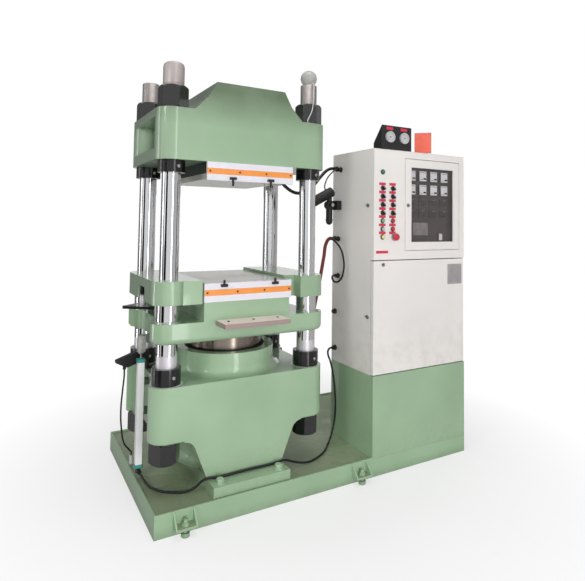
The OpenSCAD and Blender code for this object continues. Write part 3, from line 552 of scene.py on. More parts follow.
def deck_enamel(colour, deck_colour):
    """Enamel of the tray: clean on its rim; darker, oily and scratched on its deck."""
    look = Finish("tray_enamel", specular_ior_level=0.45)
    rim = look.mix(look.patches(2, 4, 0.35, 0.65), shade(colour, 0.96), shade(colour, 1.02))
    # The deck is a darker olive than the rim, with paler scuffs
    darker = look.mix(look.patches(3, 5, 0.35, 0.68), deck_colour, shade(deck_colour, 1.12))
    scuffs = look.ramp(look.noise(26, 8, look.stretched(y=6)), 0.6, 0.74, 0, 0.35)
    darker = look.mix(scuffs, darker, shade(deck_colour, 1.3))
    deck = look.times(look.rise(DECK_Z + 0.004, DECK_Z + 0.001), look.upward(0.8, 0.95))
    look.tone = look.mix(deck, rim, darker)
    speck = look.noise(30, 6)
    look.lay(look.times(look.rise(0.05, 0, 0, 0.6), speck), (0.42, 0.42, 0.36))
    thin = look.times(look.edges(0.003), look.ramp(speck, 0.45, 0.6, 0, 0.5))
    look.lay(thin, shade(colour, 1.15))
    oil = look.times(deck, look.patches(5, 3, 0.5, 0.66, 0.08, -0.14))
    return look.done(look.maths("ADD", oil, 0.34), look.grain(200, 0.06, 0.003, 0.001))


def powder_coat(colour):
    """Off-white powder coat with a fine grain, grubby low down and along the edges."""
    look = Finish("cabinet_enamel", specular_ior_level=0.4)
    look.tone = look.mix(look.patches(1.7, 3, 0.35, 0.65), shade(colour, 0.975), colour)
    grime = look.times(look.edges(0.004), look.patches(24, 5, 0.42, 0.7, 0, 0.35))
    look.lay(grime, (0.62, 0.6, 0.55))
    low = look.times(look.rise(0.95, 0.55, 0, 0.25), look.patches(14, 6, 0.45, 0.7))
    look.lay(low, (0.66, 0.64, 0.58))
    return look.done(look.patches(60, 3, 0.3, 0.7, 0.36, 0.5), look.grain(700, 0.08, 0.003))


def column_chrome():
    """Polished chrome with faint lengthwise streaks, and threaded grey steel in and beyond the castings."""
    thread_pitch = 0.004
    look = Finish("column_chrome", metallic=1)
    upper_z, lower_z = BEAM_TOP - 0.16, CASTING_LOW.z + 0.255
    ends = look.maths("MAXIMUM", look.rise(upper_z, upper_z + 0.005), look.rise(lower_z + 0.004, lower_z))
    streak = look.noise(60, 3, look.stretched(z=0.02))
    chrome = look.mix(streak, (0.86, 0.865, 0.875), (0.93, 0.93, 0.935))
    steel = look.mix(look.noise(45, 4), (0.6, 0.57, 0.56), (0.72, 0.69, 0.68))
    wave = look.maths("SINE", look.times(look.axis("Z"), 2 * math.pi / thread_pitch))
    rough = look.maths("ADD", look.ramp(streak, 0.3, 0.7, 0.05, 0.11), look.times(ends, 0.3))
    look.tone = look.mix(ends, chrome, steel)
    return look.done(rough, look.bump(look.times(ends, wave), 0.5))


def sleeve_chrome(frost_z):
    """Chromed sleeve, bright above a height and frosted below it."""
    look = Finish("sleeve_chrome")
    ragged = look.maths("ADD", look.axis("Z"), look.patches(30, 3, 0.2, 0.8, -0.004, 0.004))
    frosted = look.ramp(ragged, frost_z + 0.006, frost_z - 0.006)
    look.set(metallic=look.ramp(frosted, 0, 1, 1, 0.7))
    look.tone = look.mix(frosted, (0.88, 0.88, 0.89), (0.9, 0.885, 0.91))
    relief = look.bump(look.noise(500, 2, look.stretched(z=0.2)), 0.08)
    return look.done(look.ramp(frosted, 0, 1, 0.09, 0.42), relief)


def striker_steel():
    """Blackened striker with a bright stud, painted shade on the stud inside the rail's slot, and a rubbed
    patch on top of the plate.
    """
    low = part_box("striker_plate")[0]
    plate_t = 0.014
    tip_l = 0.04
    look = Finish("striker_steel", metallic=0.6)
    lines = look.noise(120, 4, look.stretched(y=0.2))
    look.tone = look.mix(lines, (0.13, 0.13, 0.135), (0.22, 0.22, 0.225))
    on_top = look.times(look.upward(0.8, 0.95),
                        look.ramp(look.axis("X"), low.x + tip_l, low.x + 2 * tip_l, 0, 0.85))
    rubbed = look.times(on_top, look.patches(14, 3, 0.3, 0.55))
    look.lay(rubbed, (0.8, 0.8, 0.8))
    stud_z = low.z + plate_t + 0.0005
    look.lay(look.rise(stud_z, stud_z + 0.0005), (0.88, 0.88, 0.88))
    # Painted shade: the stud is dark green-black where it stands inside the rail's slot
    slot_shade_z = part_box("left_rail")[0].z + 0.012
    look.lay(look.rise(slot_shade_z, slot_shade_z + 0.012), (0.12, 0.14, 0.12))
    relief = look.bump(lines, 0.03, 0.0004, look.rounded(0.0015))
    return look.done(look.ramp(lines, 0.3, 0.7, 0.22, 0.34), relief)


def ground_steel(name, light, dark, gloss, stretch=(1, 1, 1), tint=None, stain=0.3, metal=1, shaded_sides=None):
    """Ground steel with grinding lines along one way, a few stains and, if need be, a darker tone on its
    sides, painted shade below its lit top."""
    look = Finish(name, metallic=metal)
    lines = look.noise(120, 4, look.stretched(*stretch))
    look.tone = look.mix(look.ramp(lines, 0.3, 0.7), dark, light)
    look.lay(look.patches(9, 5, 0.52, 0.72, 0, stain), tint or shade(dark, 0.75))
    # Painted shade: faces that do not look upwards take the darker tone
    if shaded_sides:
        look.tone = look.mix(look.upward(0.5, 0.9), shaded_sides, look.tone)
    relief = look.bump(lines, 0.08, 0.0006, look.rounded(0.0015))
    return look.done(look.ramp(lines, 0.25, 0.75, gloss, gloss + 0.14), relief)


def black_oxide(name, oil):
    """Blued black steel under a film of oil, worn brighter on its edges."""
    look = Finish(name, specular_ior_level=0.5 * oil, coat_weight=oil, coat_roughness=0.1)
    speck = look.noise(70, 5)
    look.tone = look.mix(speck, (0.055, 0.055, 0.06), (0.08, 0.08, 0.085))
    worn = look.times(look.edges(0.0025), look.patches(45, 4, 0.45, 0.7, 0, 0.5))
    look.lay(worn, (0.38, 0.37, 0.36))
    turning = look.noise(400, 2, look.stretched(0.1, 0.1))
    relief = look.bump(turning, 0.06, 0.0006, look.rounded(0.003))
    return look.done(look.ramp(speck, 0.3, 0.7, 0.2, 0.28), relief)


def moulded(name, colour, gloss=0.4, grain=300, vary=0.08, edge=0.002):
    """Moulded plastic or rubber with a fine grain and paler, rubbed edges."""
    look = Finish(name, specular_ior_level=0.4)
    speck = look.noise(25, 4)
    look.tone = look.mix(speck, shade(colour, 1 - vary), shade(colour, 1 + vary))
    look.lay(look.times(look.edges(edge), 0.25), [0.7 * c + 0.25 for c in colour])
    return look.done(look.ramp(speck, 0.3, 0.7, gloss - 0.05, gloss + 0.1), look.grain(grain, 0.08, edge))


def sensor_body(colour, cap_colour):
    """White sensor housing with coloured end caps, a dark connector, and painted shade in dark green on the
    clamps beside it.
    """
    low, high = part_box("stroke_sensor")
    foot_z = low.z + 0.027
    cap_h = 0.017
    body_w = 0.036
    look = Finish("sensor_body", specular_ior_level=0.45)
    cap = look.maths("MAXIMUM", look.rise(high.z - cap_h - 0.001, high.z - cap_h),
                     look.rise(foot_z + cap_h + 0.001, foot_z + cap_h))
    look.tone = look.mix(look.noise(20), shade(colour, 0.97), shade(colour, 1.03))
    look.lay(cap, cap_colour)
    look.lay(look.rise(foot_z, foot_z - 0.001), (0.1, 0.11, 0.12))
    # Painted shade: the clamps beside the housing are dark green, as the shaded gap there
    clamp_shade_x = low.x + body_w + 0.0004
    clamp_shade = look.ramp(look.axis("X"), clamp_shade_x, clamp_shade_x + 0.0004)
    look.lay(clamp_shade, (0.3, 0.35, 0.31))
    return look.done(0.35, look.grain(300, 0.04, 0.003, detail=3))


def smoked_glass():
    """Smoked sheet that lets the instruments show, with faint smears."""
    look = Finish("smoked_glass", specular_ior_level=0.3, alpha=0.1)
    smear = look.patches(6, 5, 0.45, 0.75)
    return look.set(base_color=look.mix(smear, (0.46, 0.43, 0.43), (0.53, 0.495, 0.495)),
                    roughness=look.ramp(smear, 0, 1, 0.05, 0.16))


def signal_sheet(colour):
    """Uneven sheet in a thin grey edging."""
    look = Finish("signal_salmon", specular_ior_level=0.4)
    look.tone = look.mix(look.patches(9, 2, 0.35, 0.65), shade(colour, 0.96), shade(colour, 1.06))
    look.lay(look.ramp(look.edges(0.008), 0.05, 0.3), (0.55, 0.5, 0.49))
    return look.done(0.35, look.grain(200, 0.05, 0.002, detail=3))


def lamp_lens(name, colour, glow):
    """Coloured lens, with a faint glow if it is lit."""
    look = Finish(name, specular_ior_level=0.5, coat_weight=0.6, coat_roughness=0.08)
    look.tone = look.mix(look.noise(160, 1), shade(colour, 0.8), shade(colour, 1.15))
    look.set(emission_color=linear(colour), emission_strength=glow)
    return look.set(base_color=look.tone, roughness=0.2)


def dress(material, *nodes):
    """Gives solids a finish."""
    for name in nodes:
        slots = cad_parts[name].data.materials
        slots.clear()
        slots.append(material)


class PRESS_OT_camera(bpy.types.Operator):
    """Places the camera at the photograph's viewing angle"""

    bl_idname = "press.camera"
    bl_label = "Camera"

    def execute(self, context):
        studio = context.scene.press_studio
        lens = bpy.data.cameras.new("camera")
        camera = added("camera", lens)
        lens.sensor_width = 36
        lens.lens = studio.lens
        lens.shift_x, lens.shift_y = studio.shift
        turn = Matrix.Rotation(-studio.turn, 3, "Z") @ Matrix.Rotation(math.pi / 2 + studio.rise, 3, "X")
        camera.rotation_euler = (turn @ Matrix.Rotation(studio.roll, 3, "Z")).to_euler()
        camera.location = studio.camera
        context.scene.camera = camera
        return {"FINISHED"}


class PRESS_OT_stage(bpy.types.Operator):
    """Makes the pale floor, the cards, the soft lights and the white surroundings"""

    bl_idname = "press.stage"
    bl_label = "Stage"

    def execute(self, context):
        context.scene.view_settings.view_transform = "Standard"
        floor = begin(bpy.ops.mesh.primitive_plane_add, "floor", size=60, location=(0, 0, 0))
        floor.data.materials.append(self.floor_finish())
        for *ring, cards in CARD_RINGS:
            for card in cards:
                self.card(*ring, *card)
        for lamp in LAMPS:
            self.lamp(*lamp)
        self.surroundings(context)
        return {"FINISHED"}

    def floor_finish(self):
        """Pale floor that fades to white away from the object."""
        look = Finish("floor_pale", roughness=0.75, specular_ior_level=0.15)
        path = look.node("LightPath")
        direct = path.outputs["Is Camera Ray"]
        seen = look.maths("MAXIMUM", direct, look.times(path.outputs["Is Glossy Ray"], 0.35))
        pale = look.mix(look.noise(1.2, 3), (0.95, 0.95, 0.95), (0.965, 0.965, 0.965))
        look.set(base_color=look.mix(direct, (0.72, 0.72, 0.71), pale),
                 normal=look.bump(look.noise(180), 0.02))
        away = look.node("VectorMath", {"operation": "LENGTH"}, Vector=look.place)
        far = look.times(look.ramp(away.outputs["Value"], 0.9, 2, 0.6, 1), seen)
        white = look.node("Emission", Color=(1, 1, 1, 1), Strength=1)
        blend = look.node("MixShader", Fac=far)
        look.feed(blend.inputs[1], look.shader.outputs[0])
        look.feed(blend.inputs[2], white.outputs[0])
        look.feed(look.tree.nodes["Material Output"].inputs[0], blend.outputs[0])
        return look.material

    def card(self, ring, radius, foot, height, name, start, end, grey, glow):
        """A curved card on a ring round the press, between two turns, that only polished metal sees."""
        name = "card_%s_%s" % (name, ring)
        ahead = bpy.context.scene.press_studio.camera - Vector((PRESS.x, PRESS.y, 0))
        first = math.atan2(ahead.y, ahead.x)
        card = begin(bpy.ops.mesh.primitive_circle_add, name, vertices=120, radius=radius)
        edit(card)
        bpy.ops.mesh.select_mode(type="EDGE")
        bpy.ops.mesh.select_all(action="SELECT")
        extrude_up(height)
        bpy.ops.mesh.select_mode(type="FACE")

        def outside(face):
            middle = face.calc_center_median()
            turn = math.degrees(math.atan2(middle.y, middle.x) - first)
            return not start <= (turn + 180) % 360 - 180 <= end

        pick_faces(card, outside)
        bpy.ops.mesh.delete(type="FACE")
        close()
        card.location = (PRESS.x, PRESS.y, foot)
        look = Finish(name + "_grey", base_color=(0, 0, 0, 1), specular_ior_level=0,
                      emission_color=linear((grey, grey, grey)), emission_strength=glow)
        card.data.materials.append(look.material)
        for ray in ("camera", "diffuse", "transmission", "shadow"):
            setattr(card, "visible_" + ray, False)

    def lamp(self, name, place, target, size, watts, shines):
        """Adds a square soft light, which polished metal shows or leaves to the cards."""
        light = bpy.data.lights.new(name, "AREA")
        light.size = size
        light.energy = watts
        lamp = added(name, light)
        lamp.visible_glossy = shines
        lamp.location = place
        lamp.rotation_euler = (Vector(target) - Vector(place)).to_track_quat("-Z", "Y").to_euler()

    def surroundings(self, context):
        """White to the eye, in metal and through glass, and a plain level of light on the object."""
        world = bpy.data.worlds.new("surroundings")
        context.scene.world = world
        nodes = Nodes(world)
        path = nodes.node("LightPath").outputs
        seen = nodes.maths("MAXIMUM", path["Is Camera Ray"], path["Is Glossy Ray"])
        seen = nodes.maths("MAXIMUM", seen, path["Is Transmission Ray"])
        background = nodes.tree.nodes["Background"].inputs
        nodes.feed(background["Color"], (1, 1, 1, 1))
        nodes.feed(background["Strength"], nodes.ramp(seen, 0, 1, WORLD_LIGHT, 1))


class PRESS_OT_cords(bpy.types.Operator):
    """Lays the cables, the hose and the lamp wires along their routes"""

    bl_idname = "press.cords"
    bl_label = "Cords"

    def execute(self, context):
        colours = context.scene.press_colours
        rubber = moulded("cable_rubber", (0.085, 0.085, 0.09), 0.38, 500)
        sheaths = {"ram_hose": moulded("hose_sheath", colours.hose_red, 0.4, 200),
                   "globe_wire": moulded("wire_white", (0.86, 0.86, 0.84), 0.4)}
        slots = {"ram_hose": "hose_red", "globe_wire": "white_plastic"}
        for node, (diameter, length, stiffness, lay, route) in CORDS.items():
            points = [Vector([c / 1000 for c in p]) + Vector((TRAY_LOW.x, TRAY_LOW.y, 0)) for p in route]
            cord = self.laid(node + "_sheath", points, diameter)
            settle(cord, sheaths.get(node, rubber), "root", slots.get(node, "cable_black"))
            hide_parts(node)
        return {"FINISHED"}

    def laid(self, name, points, diameter):
        """A round cord on one smooth curve through the points."""
        curve = bpy.data.curves.new(name, "CURVE")
        curve.dimensions = "3D"
        curve.bevel_depth = diameter / 2
        curve.bevel_resolution = 4
        curve.resolution_u = 8
        curve.use_fill_caps = True
        spline = curve.splines.new("BEZIER")
        spline.bezier_points.add(len(points) - 1)
        for knot, point in zip(spline.bezier_points, points):
            knot.co = point
            knot.handle_left_type = "AUTO"
            knot.handle_right_type = "AUTO"
        return added(name, curve)


class PRESS_OT_finishes(bpy.types.Operator):
    """Gives every solid its finish"""

    bl_idname = "press.finishes"
    bl_label = "Finishes"

    def execute(self, context):
        colours = context.scene.press_colours
        self.painted(colours)
        self.bare()
        for name, colour, gloss, grain, vary, *nodes in MOULDED:
            dress(moulded(name, colour, gloss, grain, vary), *nodes)
        strip = moulded("strip_orange", colours.orange, 0.35, 260, 0.04)
        dress(strip, "upper_guard_strip", "lower_guard_strip")
        dress(sensor_body((0.99, 0.98, 1), colours.teal), "stroke_sensor")
        dress(smoked_glass(), "window_glass")
        dress(signal_sheet(colours.salmon), "signal_box")
        return {"FINISHED"}

    def painted(self, colours):
        """Castings, tray, tank and cabinet."""
        sage = colours.sage
        nut_seat_r = ring_r("lower_lock_nuts") + 0.011
        sleeve_seat_r = ring_r("spacer_sleeves") + 0.008
        # Heights of the painted shade that darkens the beam's top
        beam_painted_shade = (BEAM_TOP - 0.24, BEAM_TOP - 0.04)
        dress(enamel("casting_enamel", sage, seat_r=nut_seat_r), "lower_casting")
        # Painted shade: the beam's, the platen's and the rails' sage is made darker than the casting's
        dress(enamel("beam_enamel", shade(sage, 0.955), painted_shade=beam_painted_shade), "upper_beam")
        dress(enamel("platen_enamel", shade(sage, 0.98), seat_r=sleeve_seat_r), "moving_platen")
        dress(enamel("rail_enamel", shade(sage, 0.95)), "left_rail", "right_rail")
        dress(enamel("tank_enamel", shade(sage, 0.98), 0.3, 320, 0.34, 0.03), "oil_tank")
        dress(deck_enamel(sage, colours.sage_shade), "base_tray", "levelling_brackets", "levelling_bolts")
        dress(powder_coat(colours.off_white), "cabinet_walls", "cabinet_roof", "cabinet_back",
              "control_panel", "window_frame", "lower_door")

    def bare(self):
        """Chromed, blackened and ground steel."""
        dress(column_chrome(), "columns")
        stop_low, stop_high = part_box("stop_sleeves")
        dress(sleeve_chrome((stop_low.z + stop_high.z) / 2), "stop_sleeves", "spacer_sleeves")
        dress(black_oxide("nut_oxide", 0.9), "upper_hex_nuts", "lower_hex_nuts")
        dress(black_oxide("lock_nut_oxide", 0.55), "beam_lock_nuts", "lower_lock_nuts")
        dress(striker_steel(), "striker_plate")
        dress(ground_steel("plate_steel", (0.87, 0.86, 0.83), (0.82, 0.81, 0.78), 0.14, (0.05, 1, 1),
                           stain=0.15, metal=0.25), "upper_heat_plate", "lower_heat_plate")
        dress(ground_steel("ram_steel", (0.6, 0.555, 0.52), (0.56, 0.515, 0.48), 0.15, (1, 1, 0.04),
                           (0.44, 0.37, 0.32), 0.25), "ram")
        # The shelf's sides take a darker pink, painted shade below its lit top
        dress(ground_steel("shelf_steel", (0.95, 0.9, 0.87), (0.9, 0.85, 0.82), 0.42, (0.08, 1, 1),
                           (0.85, 0.78, 0.75), 0.2, 0, (0.63, 0.545, 0.53)), "loading_shelf")
        dress(ground_steel("rod_steel", (0.74, 0.74, 0.74), (0.6, 0.6, 0.61), 0.22, (1, 1, 0.1)),
              "stroke_sensor_rod", "door_pins")
        dress(ground_steel("lock_steel", (0.74, 0.73, 0.72), (0.55, 0.54, 0.53), 0.22),
              "quarter_turn_locks", "door_lock")
        dress(ground_steel("rim_steel", (0.86, 0.86, 0.86), (0.78, 0.78, 0.78), 0.25, metal=0.4),
              "pressure_gauges")


class PRESS_OT_foot_bolts(bpy.types.Operator):
    """Bolts the foot plate down at its front and back"""

    bl_idname = "press.foot_bolts"
    bl_label = "Foot bolts"

    def execute(self, context):
        sizes = context.scene.press_fittings
        radius = sizes.foot_bolt_af / 2 / math.cos(math.pi / 6)
        washer = turned("foot_bolts", [(0, radius * 1.25), (0.004, radius * 1.25), (0.005, radius * 1.2)],
                        sizes.round_sides)
        head = turned("head", [(0.004, radius), (0.021, radius), (0.025, radius * 0.88),
                               (0.026, radius * 0.7)], 6)
        foot_plate_t, inset = 0.054, 0.035
        bolt_xs = (PRESS.x - 0.166, PRESS.x + 0.159)
        places = [((x, y, DECK_Z + foot_plate_t), UPRIGHT) for x in bolt_xs
                  for y in (CASTING_LOW.y + inset, CASTING_HIGH.y - inset)]
        bolts = repeated(joined("foot_bolts", [washer, head]), places)
        settle(bolts, enamel("bolt_enamel", context.scene.press_colours.sage, 0.2), "root", "green_paint")
        return {"FINISHED"}


class PRESS_OT_screws(bpy.types.Operator):
    """Adds the small screws of guards, shelf, lock nuts and work lamp"""

    bl_idname = "press.screws"
    bl_label = "Screws"

    def execute(self, context):
        sizes = context.scene.press_fittings
        shelf_screw_d, lamp_screw_d = 0.012, 0.022
        lamp_reach, lamp_joint_z = 0.07, 1.56
        bright = ground_steel("screw_steel", (0.84, 0.83, 0.82), (0.7, 0.69, 0.68), 0.25)
        dark = moulded("screw_dark", (0.22, 0.2, 0.19), 0.3)
        for guard, body in (("upper_guard_strip", "root"), ("lower_guard_strip", "ram_platen")):
            low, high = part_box(guard)
            places = [((low.x + (high.x - low.x) * share, low.y, (low.z + high.z) / 2), FACING_FRONT)
                      for share in (0.03, 0.36, 0.67, 0.97)]
            self.add(guard + "_screws", sizes.screw_d, places, dark, body, "black_oxide")
        low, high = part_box("loading_shelf")
        places = [((low.x + (high.x - low.x) * share, (low.y + high.y) / 2, high.z), UPRIGHT)
                  for share in (0.12, 0.5, 0.88)]
        self.add("shelf_screws", shelf_screw_d, places, dark, "ram_platen", "black_oxide")
        for nuts in ("beam_lock_nuts", "lower_lock_nuts"):
            self.add(nuts + "_screws", sizes.set_screw_d, self.round_nuts(nuts), bright, "root", "bare_steel")
        joint = (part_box("cabinet_walls")[0].x - lamp_reach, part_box("work_lamp")[0].y, lamp_joint_z)
        self.add("lamp_screw", lamp_screw_d, [(joint, FACING_FRONT)], bright, "root", "bare_steel")
        return {"FINISHED"}

    def round_nuts(self, nuts):
        """Places of two set screws on each of the nuts round the columns."""
        low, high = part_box(nuts)
        turns = (math.radians(14), math.radians(194))
        sunk = 0.002
        places = []
        for x in COLUMN_XS:
            for y in COLUMN_YS:
                for turn in turns:
                    way = Vector((math.sin(turn), -math.cos(turn), 0))
                    point = Vector((x, y, (low.z + high.z) / 2)) + way * (ring_r(nuts) - sunk)
                    places.append((point, way.to_track_quat("Z", "Y").to_euler()))
        return places

    def add(self, name, diameter, places, *finish):
        """Puts round screws with sunk sockets at places."""
        radius = diameter / 2
        rings = [(-0.001, radius), (diameter * 0.28, radius), (diameter * 0.36, radius * 0.86)]
        screw = turned(name, rings, 24)
        edit(screw)
        pick_faces(screw, lambda face: face.normal.z > 0.99)
        bpy.ops.mesh.inset(thickness=radius * 0.4)
        extrude_up(-diameter * 0.22)
        close()
        settle(repeated(screw, places), *finish)


class PRESS_OT_rod_cap(bpy.types.Operator):
    """Adds the domed cap on the front left column"""

    bl_idname = "press.rod_cap"
    bl_label = "Rod cap"

    def execute(self, context):
        radius = context.scene.press_fittings.cap_d / 2
        rise = 0.008
        foot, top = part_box("upper_hex_nuts")[1].z, COLUMNS_HIGH.z + rise
        rings = [(foot, radius), (foot + 0.006, radius), (foot + 0.008, radius - 0.002),
                 (foot + 0.011, radius - 0.002), (foot + 0.013, radius), (top - 0.026, radius),
                 (top - 0.012, radius - 0.004), (top - 0.004, radius - 0.014), (top, radius - 0.03)]
        cap = turned("rod_cap", rings, 64)
        cap.data.transform(Matrix.Translation((COLUMN_XS[0], COLUMN_YS[0], 0)))
        steel = ground_steel("cap_steel", (0.72, 0.685, 0.68), (0.66, 0.625, 0.62), 0.38, (1, 1, 0.1),
                             (0.66, 0.6, 0.58), 0.3, 0.5)
        settle(cap, steel, "root", "bare_steel")
        return {"FINISHED"}


class PRESS_OT_rod_end(bpy.types.Operator):
    """Adds the clevis that hangs the sensor's rod from the platen, with its pin"""

    bl_idname = "press.rod_end"
    bl_label = "Rod end"

    def execute(self, context):
        rod_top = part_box("stroke_sensor_rod")[1].z
        rod_inset, foot_drop, top_drop, pin_rise = 0.021, 0.094, 0.003, 0.012
        half_w, half_d = 0.02, 0.018
        axis = Vector((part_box("stroke_sensor")[0].x + rod_inset, PRESS.y, 0))
        foot, top = rod_top - foot_drop, rod_top - top_drop
        clevis = block("rod_end", axis + Vector((-half_w, -half_d, foot)),
                       axis + Vector((half_w, half_d, top)), 0.007)
        pin = turned("pin", [(-half_d - 0.005, 0.0065), (-half_d - 0.004, 0.008), (half_d + 0.004, 0.008),
                             (half_d + 0.005, 0.0065)], context.scene.press_fittings.round_sides)
        pin = repeated(pin, [(axis + Vector((0, 0, (foot + top) / 2 + pin_rise)), FACING_FRONT)])
        steel = ground_steel("clevis_steel", (0.8, 0.8, 0.79), (0.62, 0.62, 0.61), 0.34,
                             tint=(0.4, 0.4, 0.39), stain=0.5, metal=0.5)
        settle(joined("rod_end", [clevis, pin]), steel, "ram_platen", "bare_steel")
        return {"FINISHED"}


class PRESS_OT_panel_fittings(bpy.types.Operator):
    """Adds the blank tags, coloured caps, bezels and markers of the control panel"""

    bl_idname = "press.panel_fittings"
    bl_label = "Panel fittings"

    def execute(self, context):
        sizes = context.scene.press_fittings
        columns = [PANEL_LOW.x + inset for inset in COLUMN_INSETS]
        left = columns[0]
        tag_rise, cap_out, handle_out = 0.0245, 0.011, 0.023
        label_half_w, label_t = 0.045, 0.0015
        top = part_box("cabinet_roof")[1].z
        front = PANEL_LOW.y
        rows = [top - drop for drop in (*SELECTOR_DROPS, *BUTTON_DROPS, LAST_DROP)]
        red = moulded("tag_red", context.scene.press_colours.tag_red, 0.4, 300, 0.06, 0.001)
        tag = block("blank_tags", (-sizes.tag_w / 2, -sizes.tag_h / 2, 0),
                    (sizes.tag_w / 2, sizes.tag_h / 2, sizes.tag_t), 0.0006)
        settle(repeated(tag, [((x, front, z + tag_rise), FACING_FRONT) for x in columns for z in rows]), red)
        label_low, label_high = (top - drop for drop in LABEL_DROPS)
        strip = block("label_strip", (left - label_half_w, front - label_t, label_low),
                      (left + label_half_w, front, label_high), 0.0006)
        settle(strip, red)
        centres = [(x, z) for x in columns for z in rows[:-1]] + [(left, rows[-1]), (left, top - PILOT_DROP)]
        self.bezels(centres, front)
        for name, column, drop, colour, glow in CAPS:
            cap = turned(name, [(-0.001, 0.0105), (0.003, 0.0105), (0.005, 0.009), (0.0058, 0.005)],
                         sizes.round_sides)
            place = (columns[column], front - cap_out, top - drop)
            settle(repeated(cap, [(place, FACING_FRONT)]), lamp_lens(name + "_colour", colour, glow))
        self.stop_button((PANEL_LOW.x + STOP_INSET, front, rows[-1]), sizes.round_sides)
        selectors = rows[:len(SELECTOR_DROPS)]
        self.markers([((x, front - handle_out, z), FACING_FRONT) for x in columns for z in selectors])
        return {"FINISHED"}

    def bezels(self, centres, front):
        """Bright rings round the controls."""
        ring = begin(bpy.ops.mesh.primitive_torus_add, "bezel_rings", major_radius=0.0148,
                     minor_radius=0.0022, major_segments=40, minor_segments=10)
        edit(ring)
        pick_faces(ring, lambda face: face.calc_center_median().z < -0.0018)
        extrude_up(-0.001)
        close()
        smooth(ring)
        ring_out = 0.0035
        places = [((x, front - ring_out, z), FACING_FRONT) for x, z in centres]
        steel = ground_steel("bezel_steel", (0.86, 0.86, 0.86), (0.7, 0.7, 0.7), 0.15)
        settle(repeated(ring, places), steel, "root", "gauge_steel")

    def stop_button(self, place, sides):
        """Red mushroom head over a grey collar."""
        head = turned("stop_head", [(0.012, 0.016), (0.014, 0.0205), (0.022, 0.0215), (0.0265, 0.019),
                                    (0.029, 0.012), (0.0295, 0.005)], sides)
        settle(repeated(head, [(place, FACING_FRONT)]), lamp_lens("stop_red", (0.8, 0.15, 0.25), 0))
        collar = turned("stop_collar", [(0, 0.024), (0.004, 0.024), (0.005, 0.0225), (0.005, 0.016),
                                        (0.0055, 0.0152)], sides)
        settle(repeated(collar, [(place, FACING_FRONT)]), moulded("collar_grey", (0.62, 0.58, 0.58), 0.4))

    def markers(self, places):
        """White lines on the selectors' handles."""
        line = block("selector_lines", (-0.001, 0.002, 0), (0.001, 0.0125, 0.0008), 0.0002)
        handle_turn = math.radians(35)
        line.data.transform(Matrix.Rotation(handle_turn, 4, "Z"))
        settle(repeated(line, places), moulded("line_white", (0.92, 0.92, 0.92), 0.5))


class PRESS_OT_instruments(bpy.types.Operator):
    """Adds the faces of the controllers, meters, display and switch behind the window"""

    bl_idname = "press.instruments"
    bl_label = "Instruments"

    def execute(self, context):
        inset, display_inset, display_rise = 0.04, 0.034, 0.086
        rocker_column, rocker_rise = 2.8, 0.054
        first_x = WINDOW_LOW.x + inset
        pitch = (WINDOW_HIGH.x - WINDOW_LOW.x) / 5
        columns = [first_x + column * pitch for column in range(4)]
        groups = {}
        for drops, plates in INSTRUMENTS:
            corners = [(x, WINDOW_HIGH.z - drop) for x in columns for drop in drops]
            for plate in plates:
                groups.setdefault(plate[0], []).append(self.plates(corners, *plate))
        display_corner = (first_x + display_inset, WINDOW_LOW.z + display_rise)
        rocker_corner = (first_x + rocker_column * pitch, WINDOW_LOW.z + rocker_rise)
        groups["display_screen"] = [self.plates([display_corner], *DISPLAY)]
        groups["rocker_switch"] = [self.plates([rocker_corner], *ROCKER)]
        for name, pieces in groups.items():
            settle(joined(name, pieces), moulded(*INSTRUMENT_FINISHES[name]))
        return {"FINISHED"}

    def plates(self, corners, name, left, low, right, high, front_out, back_out, bevel):
        """Thin plates on the fronts of the instruments that have their corners at x and z."""
        plate = block(name, (left, -front_out, low), (right, -back_out, high), bevel)
        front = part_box("panel_instruments")[0].y
        return repeated(plate, [((x, front, z), UPRIGHT) for x, z in corners])


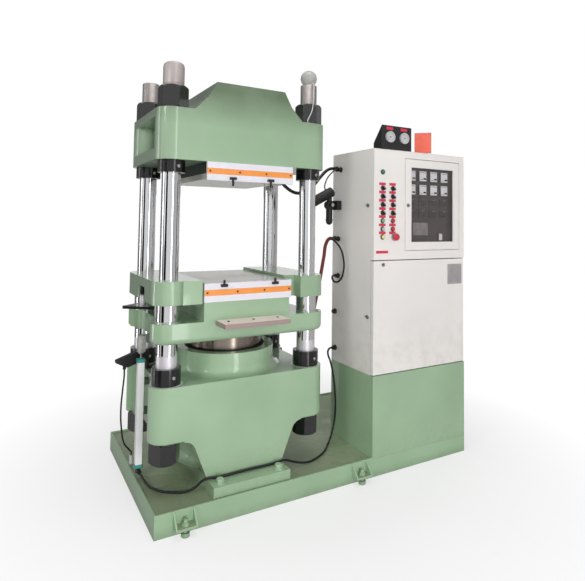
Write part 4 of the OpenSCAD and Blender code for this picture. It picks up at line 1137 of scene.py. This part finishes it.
class PRESS_OT_gauge_dials(bpy.types.Operator):
    """Adds dials, needles and blank tags to the gauges"""

    bl_idname = "press.gauge_dials"
    bl_label = "Gauge dials"

    def execute(self, context):
        low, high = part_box("pressure_gauges")
        radius = (high.z - low.z) / 2
        xs = (low.x + radius, high.x - radius)
        depth, rim_w, tag_rise = 0.0037, 0.0052, 0.018
        tick_start, tick_step, needle_turn = (math.radians(turn) for turn in (225, 27, 215))
        places = [((x, low.y + depth, (low.z + high.z) / 2), FACING_FRONT) for x in xs]
        dial_r = radius - rim_w
        dial = turned("gauge_dials", [(-0.0005, dial_r), (0.0006, dial_r), (0.0008, dial_r - 0.0004)], 48)
        settle(repeated(dial, places), moulded("dial_pale", (0.8, 0.79, 0.8), 0.35, 400, 0.03))
        tick = block("ticks", (radius * 0.62, -0.0007, 0.0007), (radius * 0.78, 0.0007, 0.0011), 0.0001)
        turns = [Euler((0, 0, tick_start - tick_step * step)) for step in range(11)]
        ticks = repeated(tick, [((0, 0, 0), turn) for turn in turns])
        needle = block("needle", (-0.006, -0.0007, 0.0014), (radius * 0.66, 0.0007, 0.002), 0.0002)
        needle.data.transform(Matrix.Rotation(needle_turn, 4, "Z"))
        hub = turned("hub", [(0.0007, 0.004), (0.002, 0.004), (0.0026, 0.003)], 20)
        marks = repeated(joined("gauge_marks", [ticks, needle, hub]), places)
        settle(marks, moulded("mark_grey", (0.32, 0.31, 0.32), 0.5))
        tag = block("gauge_tags", (-0.026, -0.009, 0), (0.026, 0.009, 0.0012), 0.0005)
        places = [((x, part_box("gauge_box")[0].y, high.z + tag_rise), FACING_FRONT) for x in xs]
        tag_red = context.scene.press_colours.tag_red
        settle(repeated(tag, places), moulded("gauge_tag_red", tag_red, 0.4, 300, 0.06))
        return {"FINISHED"}


class PRESS_PT_sidebar(bpy.types.Panel):
    """Shows a button for each of the press's steps"""

    bl_idname = "PRESS_PT_sidebar"
    bl_label = "Press"
    bl_space_type = "VIEW_3D"
    bl_region_type = "UI"
    bl_category = "Press"

    def draw(self, context):
        for operator in OPERATORS:
            self.layout.operator(operator.bl_idname)


OPERATORS = (PRESS_OT_camera, PRESS_OT_cords, PRESS_OT_stage, PRESS_OT_finishes, PRESS_OT_foot_bolts,
             PRESS_OT_screws, PRESS_OT_rod_cap, PRESS_OT_rod_end, PRESS_OT_panel_fittings,
             PRESS_OT_instruments, PRESS_OT_gauge_dials)
GROUPS = {"press_colours": PressColours, "press_fittings": PressFittings, "press_studio": PressStudio}


def register():
    """Registers the settings, the operators and the panel."""
    for name, group in GROUPS.items():
        bpy.utils.register_class(group)
        setattr(bpy.types.Scene, name, bpy.props.PointerProperty(type=group))
    for operator in OPERATORS:
        bpy.utils.register_class(operator)
    bpy.utils.register_class(PRESS_PT_sidebar)


def unregister():
    """Removes what register added."""
    bpy.utils.unregister_class(PRESS_PT_sidebar)
    for operator in OPERATORS:
        bpy.utils.unregister_class(operator)
    for name, group in GROUPS.items():
        delattr(bpy.types.Scene, name)
        bpy.utils.unregister_class(group)


def main():
    """Makes every piece in order."""
    register()
    for operator in OPERATORS:
        group, name = operator.bl_idname.split(".")
        getattr(getattr(bpy.ops, group), name)()


if __name__ == "__main__":
    main()
